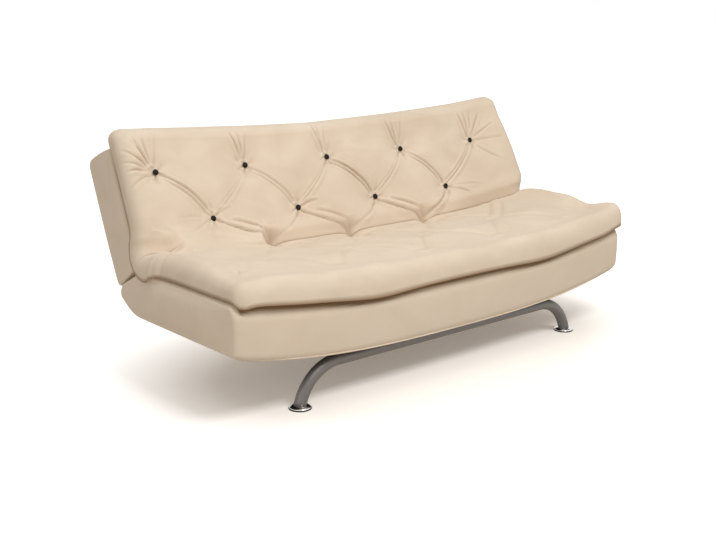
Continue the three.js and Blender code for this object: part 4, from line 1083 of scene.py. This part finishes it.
class SOFA_OT_studio(bpy.types.Operator):
    """Adds the camera, the pale floor, the white surroundings and the soft lamps"""

    bl_idname = "sofa.studio"
    bl_label = "Studio"

    def execute(self, context):
        scene = context.scene
        scene.view_settings.view_transform = "Standard"
        camera = bpy.data.objects.new("camera", bpy.data.cameras.new("camera"))
        camera.data.sensor_width = 36
        camera.data.lens = CAMERA_LENS
        level = math.cos(CAMERA_PITCH)
        ahead = Vector((math.sin(CAMERA_YAW) * level, math.cos(CAMERA_YAW) * level, -math.sin(CAMERA_PITCH)))
        right = Vector((math.cos(CAMERA_YAW), -math.sin(CAMERA_YAW), 0))
        up = right.cross(ahead)
        turn = Matrix((right, up, -ahead)).transposed().to_4x4()
        camera.matrix_world = Matrix.Translation(CAMERA_PLACE) @ turn
        scene.collection.objects.link(camera)
        scene.camera = camera
        for name, lamp in LAMPS.items():
            self.light(scene, name, *lamp)
        self.surroundings(scene)
        self.floor(scene)
        return {"FINISHED"}

    def light(self, scene, name, place, target, size, power):
        """One rectangular lamp that looks at a target."""
        lamp = bpy.data.lights.new(name, "AREA")
        lamp.shape = "RECTANGLE"
        lamp.size, lamp.size_y = size
        lamp.energy = power
        holder = bpy.data.objects.new(name, lamp)
        aim = Vector(target) - Vector(place)
        holder.matrix_world = Matrix.Translation(place) @ aim.to_track_quat("-Z", "Y").to_matrix().to_4x4()
        scene.collection.objects.link(holder)

    def seen_share(self, tree):
        """A node whose value is 1 for rays from the camera, off gloss and through glass, or else 0."""
        path = add_node(tree, "ShaderNodeLightPath")
        first = add_node(tree, "ShaderNodeMath", operation="MAXIMUM")
        both = add_node(tree, "ShaderNodeMath", operation="MAXIMUM")
        connect(
            tree, (path, "Is Camera Ray", first, 0), (path, "Is Glossy Ray", first, 1),
            (first, "Value", both, 0), (path, "Is Transmission Ray", both, 1))
        return both

    def surroundings(self, scene):
        """White where it is seen, and a softer white where it lights the sofa."""
        world = bpy.data.worlds.new("surroundings")
        scene.world = world
        world.use_nodes = True
        tree = world.node_tree
        tree.nodes.clear()
        light = add_node(tree, "ShaderNodeBackground", {"Color": (1, 0.985, 0.965, 1), "Strength": 0.54})
        seen = add_node(tree, "ShaderNodeBackground", {"Color": (1, 1, 1, 1), "Strength": 1.0})
        mix = add_node(tree, "ShaderNodeMixShader")
        output = add_node(tree, "ShaderNodeOutputWorld")
        connect(
            tree, (self.seen_share(tree), "Value", mix, "Fac"), (light, "Background", mix, 1),
            (seen, "Background", mix, 2), (mix, "Shader", output, "Surface"))

    def floor(self, scene):
        """A pale floor that keeps the sofa's shadow and otherwise shows white.

        Its own glow, where it is seen directly or in gloss, is weak and warm under the sofa and its front
        edge, which paints a warm shade into the shadow there, and full further out, which paints over any
        shadow.
        Its paint is paler where it is seen than where it throws light back onto the sofa.
        """
        corners = 30.0 * np.array([(-1, -1, 0), (1, -1, 0), (1, 1, 0), (-1, 1, 0)])
        floor = put_mesh("floor", corners, [(0, 1, 2, 3)], close=False)
        material = bpy.data.materials.new("pale floor")
        material.use_nodes = True
        tree = material.node_tree
        tree.nodes.clear()
        paint = add_node(tree, "ShaderNodeBsdfDiffuse")
        shade = add_ramp(tree, (0.57, 0.52, 0.46), (0.87, 0.85, 0.82))
        glow = add_node(tree, "ShaderNodeEmission")
        place = add_node(tree, "ShaderNodeTexCoord")
        footprint = add_node(
            tree, "ShaderNodeMapping", {"Location": (0, 0.40, 0), "Scale": (1.0, 1.6, 1.0)},
            vector_type="POINT")
        distance = add_node(tree, "ShaderNodeVectorMath", operation="LENGTH")
        reach = add_node(tree, "ShaderNodeMapRange", {"From Min": 0.80, "From Max": 1.55})
        # Painted shade: the glow's colour runs from a dim warm brown under the sofa to full white further
        # out.
        colour = add_ramp(tree, (0.25, 0.21, 0.17), (0.75, 0.75, 0.75))
        total = add_node(tree, "ShaderNodeAddShader")
        output = add_node(tree, "ShaderNodeOutputMaterial")
        seen = self.seen_share(tree)
        connect(
            tree, (seen, "Value", shade, "Fac"), (shade, "Color", paint, "Color"),
            (place, "Object", footprint, "Vector"), (footprint, "Vector", distance, 0),
            (distance, "Value", reach, "Value"), (reach, "Result", colour, "Fac"),
            (colour, "Color", glow, "Color"), (seen, "Value", glow, "Strength"),
            (paint, "BSDF", total, 0), (glow, "Emission", total, 1), (total, "Shader", output, "Surface"))
        dress(floor, material)


class SOFA_OT_quilt(bpy.types.Operator):
    """Adds the quilted pad that runs over seat and back in one"""

    bl_idname = "sofa.quilt"
    bl_label = "Quilted Pad"

    def execute(self, context):
        pad = make_quilt()
        dress(pad, cloth_material("pad cloth"))
        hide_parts("seat_pad", "back_pad")
        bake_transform(pad)
        return {"FINISHED"}


class SOFA_OT_seat_box(bpy.types.Operator):
    """Adds the upholstery of the seat box"""

    bl_idname = "sofa.seat_box"
    bl_label = "Seat Upholstery"

    def execute(self, context):
        outline = seat_outline()
        from_hinge = outline - (HINGE_RUN, HINGE_HEIGHT)
        from_seam = np.abs(from_hinge @ (math.cos(SEAM_SLOPE), math.sin(SEAM_SLOPE)) - NOSE_RADIUS)
        x, rings = box_rings(outline, from_seam, longer=0.012, end_radius=0.040, end_inset=0.018)
        depth, height = rings[..., 0], rings[..., 1]
        half = context.scene.sofa_shape.half_length
        mouth = (np.abs(x) < half - 0.060) & (depth > 0.060) & (depth < 0.552)
        height = np.where(mouth & (height < SEAT_BOTTOM + 0.001), height + 0.0075, height)
        at_end = smooth_step((np.abs(x) - half + 0.040) / 0.012)
        at_edge = np.maximum(smooth_step((0.042 - depth) / 0.020), at_end)
        height = height - RIM_DROP * at_edge * smooth_step((SEAT_BOTTOM + 0.050 - height) / 0.050)
        level = np.clip((height - SEAT_BOTTOM) / (SEAT_TOP - SEAT_BOTTOM), 0, 1)
        face = bell(depth, 0.02) * np.sin(math.pi * level)
        depth = depth - face * (0.003 + slow_waves(x, height, seed=3, height=0.0012))
        # Painted shadow: the top of the box's brow, under the pad's lip, is darkened to a brown, except near
        # the ends.
        painted_lip_shadow = smooth_step((height - SEAT_TOP + lip_droop(x) + 0.018) / 0.007)
        painted_lip_shadow = painted_lip_shadow * (np.abs(x) < half - 0.012)
        box = closed_skin(
            "seat_upholstery", seat_place(x, depth, height), bulge=0.016, painted_shade=0.95 * painted_lip_shadow)
        dress(box, cloth_material("box cloth"))
        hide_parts("seat_cover")
        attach(box, "seat")
        return {"FINISHED"}


class SOFA_OT_back_box(bpy.types.Operator):
    """Adds the upholstery of the back box"""

    bl_idname = "sofa.back_box"
    bl_label = "Back Upholstery"

    def execute(self, context):
        outline = back_outline()
        from_seam = np.abs(outline @ (math.sin(TOE_TILT), math.cos(TOE_TILT)) - TOE_HEIGHT)
        x, rings = box_rings(outline, from_seam, longer=0.003, end_radius=0.026, end_inset=0.013)
        depth, height = rings[..., 0], rings[..., 1]
        rear = BACK_THICKNESS - BACK_FRONT
        swell = bell(depth - rear, 0.02) * np.sin(math.pi * np.clip(height / BACK_HEIGHT, 0, 1))
        depth = depth + swell * (0.002 + slow_waves(x, height, seed=8, height=0.0012))
        over = np.sin(math.pi * np.clip((depth + BACK_FRONT) / BACK_THICKNESS, 0, 1)) ** 0.7
        height = height + 0.007 * over * smooth_step((height - BACK_HEIGHT + 0.05) / 0.04)
        box = closed_skin("back_upholstery", back_place(x, depth, height), bulge=0.006)
        dress(box, cloth_material("box cloth"))
        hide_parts("back_cover")
        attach(box, "back")
        return {"FINISHED"}


class SOFA_OT_seams(bpy.types.Operator):
    """Adds the seat box's hems and the back box's corner seams"""

    bl_idname = "sofa.seams"
    bl_label = "Seams and Hem"

    def execute(self, context):
        half = context.scene.sofa_shape.half_length
        cloth = cloth_material("box cloth")
        pieces = []
        ring = drawn_in(back_outline(), 0.0044)
        for name, side in (("left", -1), ("right", 1)):
            path = back_place(np.full(len(ring), side * (half - 0.0046)), ring[:, 0], ring[:, 1])
            rings = sweep(path, 0.0017, (side, 0, 0), 8, closed=True)
            faces = grid_faces(len(path), 8, round_rows=True, round_columns=True)
            pieces.append((put_mesh(f"back_{name}_seam", rings, faces), "back"))
        reach = half - 0.040
        x = np.linspace(-reach, reach, 160)
        thinning = 0.15 + 0.85 * smooth_step((reach - np.abs(x)) / 0.24)
        hems = (("front", 0.0045, SEAT_BOTTOM + 0.0070 - RIM_DROP, 0.0027),
                ("under", 0.055, SEAT_BOTTOM, 0.002))
        for name, depth, height, radius in hems:
            path = seat_place(x, np.full(x.shape, depth), np.full(x.shape, height))
            rings = sweep(path, radius * thinning[:, None, None], (0, 1, 0), 12)
            pieces.append((closed_skin(f"seat_{name}_hem", rings), "seat"))
        for piece, body in pieces:
            dress(piece, cloth)
            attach(piece, body)
        return {"FINISHED"}


class SOFA_OT_buttons(bpy.types.Operator):
    """Adds the nine dark buttons"""

    bl_idname = "sofa.buttons"
    bl_label = "Buttons"

    def execute(self, context):
        radius = context.scene.sofa_shape.button_radius
        leather = nap_material("button leather", context.scene.sofa_colours.button)
        profile = [(0, 0), (0.8, 0), (0.96, 0.10), (1.0, 0.24), (0.985, 0.36), (0.92, 0.48), (0.78, 0.58),
                   (0.58, 0.66), (0.34, 0.70), (0.12, 0.715), (0, 0.72)]
        rings = lathe(np.array(profile) * radius, 40)
        faces = grid_faces(*rings.shape[:2], round_columns=True)
        outward = Vector((0, -math.cos(LEAN), math.sin(LEAN)))
        turn = np.array(outward.to_track_quat("Z", "Y").to_matrix())
        names = [f"upper_button_{index}" for index in range(1, 6)]
        names += [f"lower_button_{index}" for index in range(1, 5)]
        for name in names:
            low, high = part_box(name)
            middle = np.array((low + high) / 2)
            start = middle - 0.0030 * np.array(outward)
            piece = put_mesh(name + "_cap", rings @ turn.T + start, faces)
            dress(piece, leather)
            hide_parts(name)
            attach(piece, "back")
        return {"FINISHED"}


def leg_line(foot_span, depth, foot_reach, share):
    """The middle line of a bent tube: straight shins that lean, two bends and a straight top."""
    turn = math.pi / 2 - LEG_LEAN
    shin_rise = LEG_TOP - LEG_BEND * (1 - math.cos(turn))
    bend_run = LEG_BEND * math.sin(turn)
    start = foot_span - (shin_rise - FOOT_TOP) * math.tan(LEG_LEAN)
    along = 1 - np.abs(2 * share - 1)
    shin_height = shin_rise * along / 0.1
    angle = turn * (1 - (along - 0.1) / 0.8)
    shin = along < 0.1
    bent = along < 0.9
    x = np.where(shin, start + (shin_rise - shin_height) * math.tan(LEG_LEAN), np.where(
        bent, start - bend_run + LEG_BEND * np.sin(angle), (start - bend_run) * (1 - along) / 0.1))
    arch = np.where(bent, LEG_TOP - LEG_BEND * (1 - np.cos(angle)), LEG_TOP)
    height = np.where(shin, shin_height, arch)
    reach = foot_reach * (LEG_TOP - height) / (LEG_TOP - FOOT_TOP)
    side = np.where(share < 0.5, -1, 1)
    return np.stack([side * x, depth + reach + SEAT_FRONT, height], axis=-1)


class SOFA_OT_legs(bpy.types.Operator):
    """Adds the two bent tubes that carry the seat"""

    bl_idname = "sofa.legs"
    bl_label = "Leg Tubes"

    def execute(self, context):
        radius = context.scene.sofa_shape.tube_radius
        paint = metal_material("tube paint", context.scene.sofa_colours.tube)
        for name, span, depth, reach in (("front", 0.682, 0.052, 0), ("rear", 0.470, 0.578, 0.090)):
            share = np.concatenate([
                (0.030, 0.046), np.linspace(0.05, 0.45, 60)[:-1], np.linspace(0.45, 0.55, 24),
                np.linspace(0.55, 0.95, 60)[1:], (0.954, 0.970)])
            path = leg_line(span, depth, reach, share)
            rings = sweep(path, radius, (0, 1, 0), 32)
            for ring, step in ((0, path[1] - path[0]), (-1, path[-1] - path[-2])):
                rings[ring] += step * ((TUBE_END - rings[ring][:, 2:3]) / step[2])
            tube = closed_skin(f"{name}_bent_tube", rings)
            dress(tube, paint)
            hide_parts(f"{name}_leg_tube")
            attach(tube, "seat")
        return {"FINISHED"}


class SOFA_OT_feet(bpy.types.Operator):
    """Adds the four bright feet and their dark glides"""

    bl_idname = "sofa.feet"
    bl_label = "Feet and Glides"

    def execute(self, context):
        colours = context.scene.sofa_colours
        chrome = metal_material("foot chrome", colours.chrome)
        rubber = metal_material("glide plastic", colours.glide)
        foot = [(0, 4.3), (36.5, 4.3), (37.3, 4.7), (37.5, 5.6), (37.3, 6.6), (36.6, 7.3), (34.2, 9.0),
                (31.2, 10.8), (28.0, 12.2), (26.0, 12.9), (24.0, 13.3), (0, 13.3)]
        glide = [(0, 0), (38.0, 0), (38.7, 0.3), (39.0, 1.0), (39.0, 3.0), (38.7, 3.7), (38.0, 4.0), (0, 4.0)]
        for row in ("front", "rear"):
            for side in ("left", "right"):
                name = f"{row}_{side}"
                low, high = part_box(f"{name}_glide")
                middle = np.array([(low[0] + high[0]) / 2, (low[1] + high[1]) / 2, 0])
                for part, profile, material, slot in (
                        ("foot", foot, chrome, "chrome"), ("glide", glide, rubber, "glide")):
                    rings = lathe(np.array(profile) * 0.001) + middle
                    faces = grid_faces(*rings.shape[:2], round_columns=True)
                    piece = put_mesh(f"{name}_{part}_disc", rings, faces)
                    dress(piece, material)
                    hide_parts(f"{name}_{part}")
                    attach(piece, "seat")
        return {"FINISHED"}


class SOFA_OT_inner_parts(bpy.types.Operator):
    """Gives the frames, foam, springs, mechanism and dust cover their materials"""

    bl_idname = "sofa.inner_parts"
    bl_label = "Frame and Mechanism"

    def execute(self, context):
        colours = context.scene.sofa_colours
        dark = tuple(value * 0.55 for value in colours.timber)
        timber = new_material("softwood", grain_group(), {
            "Light": (*colours.timber, 1), "Dark": (*dark, 1), "Scale": 16.0}, (0.3, 0.0006), {})
        steel = metal_material("pressed steel", colours.steel)
        dull = tuple(value * 0.5 for value in colours.tube)
        kinds = (
            ("foam", nap_material("foam cells", colours.foam)),
            ("dust_cover", nap_material("dust cloth", colours.lining)),
            ("rail", timber),
            ("spring", metal_material("spring wire", colours.steel)),
            ("saddle", metal_material("saddle paint", dull)),
        )
        for name, node in frame["nodes"].items():
            if node.hide_render:
                continue
            material = next((kind for word, kind in kinds if word in name), steel)
            for slot in node.material_slots:
                slot.material = material
        return {"FINISHED"}


class SOFA_PT_build(bpy.types.Panel):
    """Lists the sofa bed's pieces in the 3D view's sidebar"""

    bl_label = "Sofa Bed"
    bl_idname = "SOFA_PT_build"
    bl_space_type = "VIEW_3D"
    bl_region_type = "UI"
    bl_category = "Sofa Bed"

    def draw(self, context):
        for group in (context.scene.sofa_shape, context.scene.sofa_colours):
            column = self.layout.column()
            for name in group.bl_rna.properties.keys():
                if name not in {"rna_type", "name"}:
                    column.prop(group, name)
        for operator in OPERATORS:
            self.layout.operator(operator.bl_idname)


OPERATORS = (
    SOFA_OT_studio, SOFA_OT_quilt, SOFA_OT_seat_box, SOFA_OT_back_box, SOFA_OT_seams,
    SOFA_OT_buttons, SOFA_OT_legs, SOFA_OT_feet, SOFA_OT_inner_parts,
)
CLASSES = (SofaShape, SofaColours, *OPERATORS, SOFA_PT_build)


def register():
    for each in CLASSES:
        bpy.utils.register_class(each)
    bpy.types.Scene.sofa_shape = PointerProperty(type=SofaShape)
    bpy.types.Scene.sofa_colours = PointerProperty(type=SofaColours)


def unregister():
    del bpy.types.Scene.sofa_colours
    del bpy.types.Scene.sofa_shape
    for each in reversed(CLASSES):
        bpy.utils.unregister_class(each)


def main():
    """Registers the classes and builds the sofa bed."""
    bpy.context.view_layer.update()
    register()
    bpy.ops.sofa.studio()
    bpy.ops.sofa.quilt()
    bpy.ops.sofa.seat_box()
    bpy.ops.sofa.back_box()
    bpy.ops.sofa.seams()
    bpy.ops.sofa.buttons()
    bpy.ops.sofa.legs()
    bpy.ops.sofa.feet()
    bpy.ops.sofa.inner_parts()


if __name__ == "__main__":
    main()
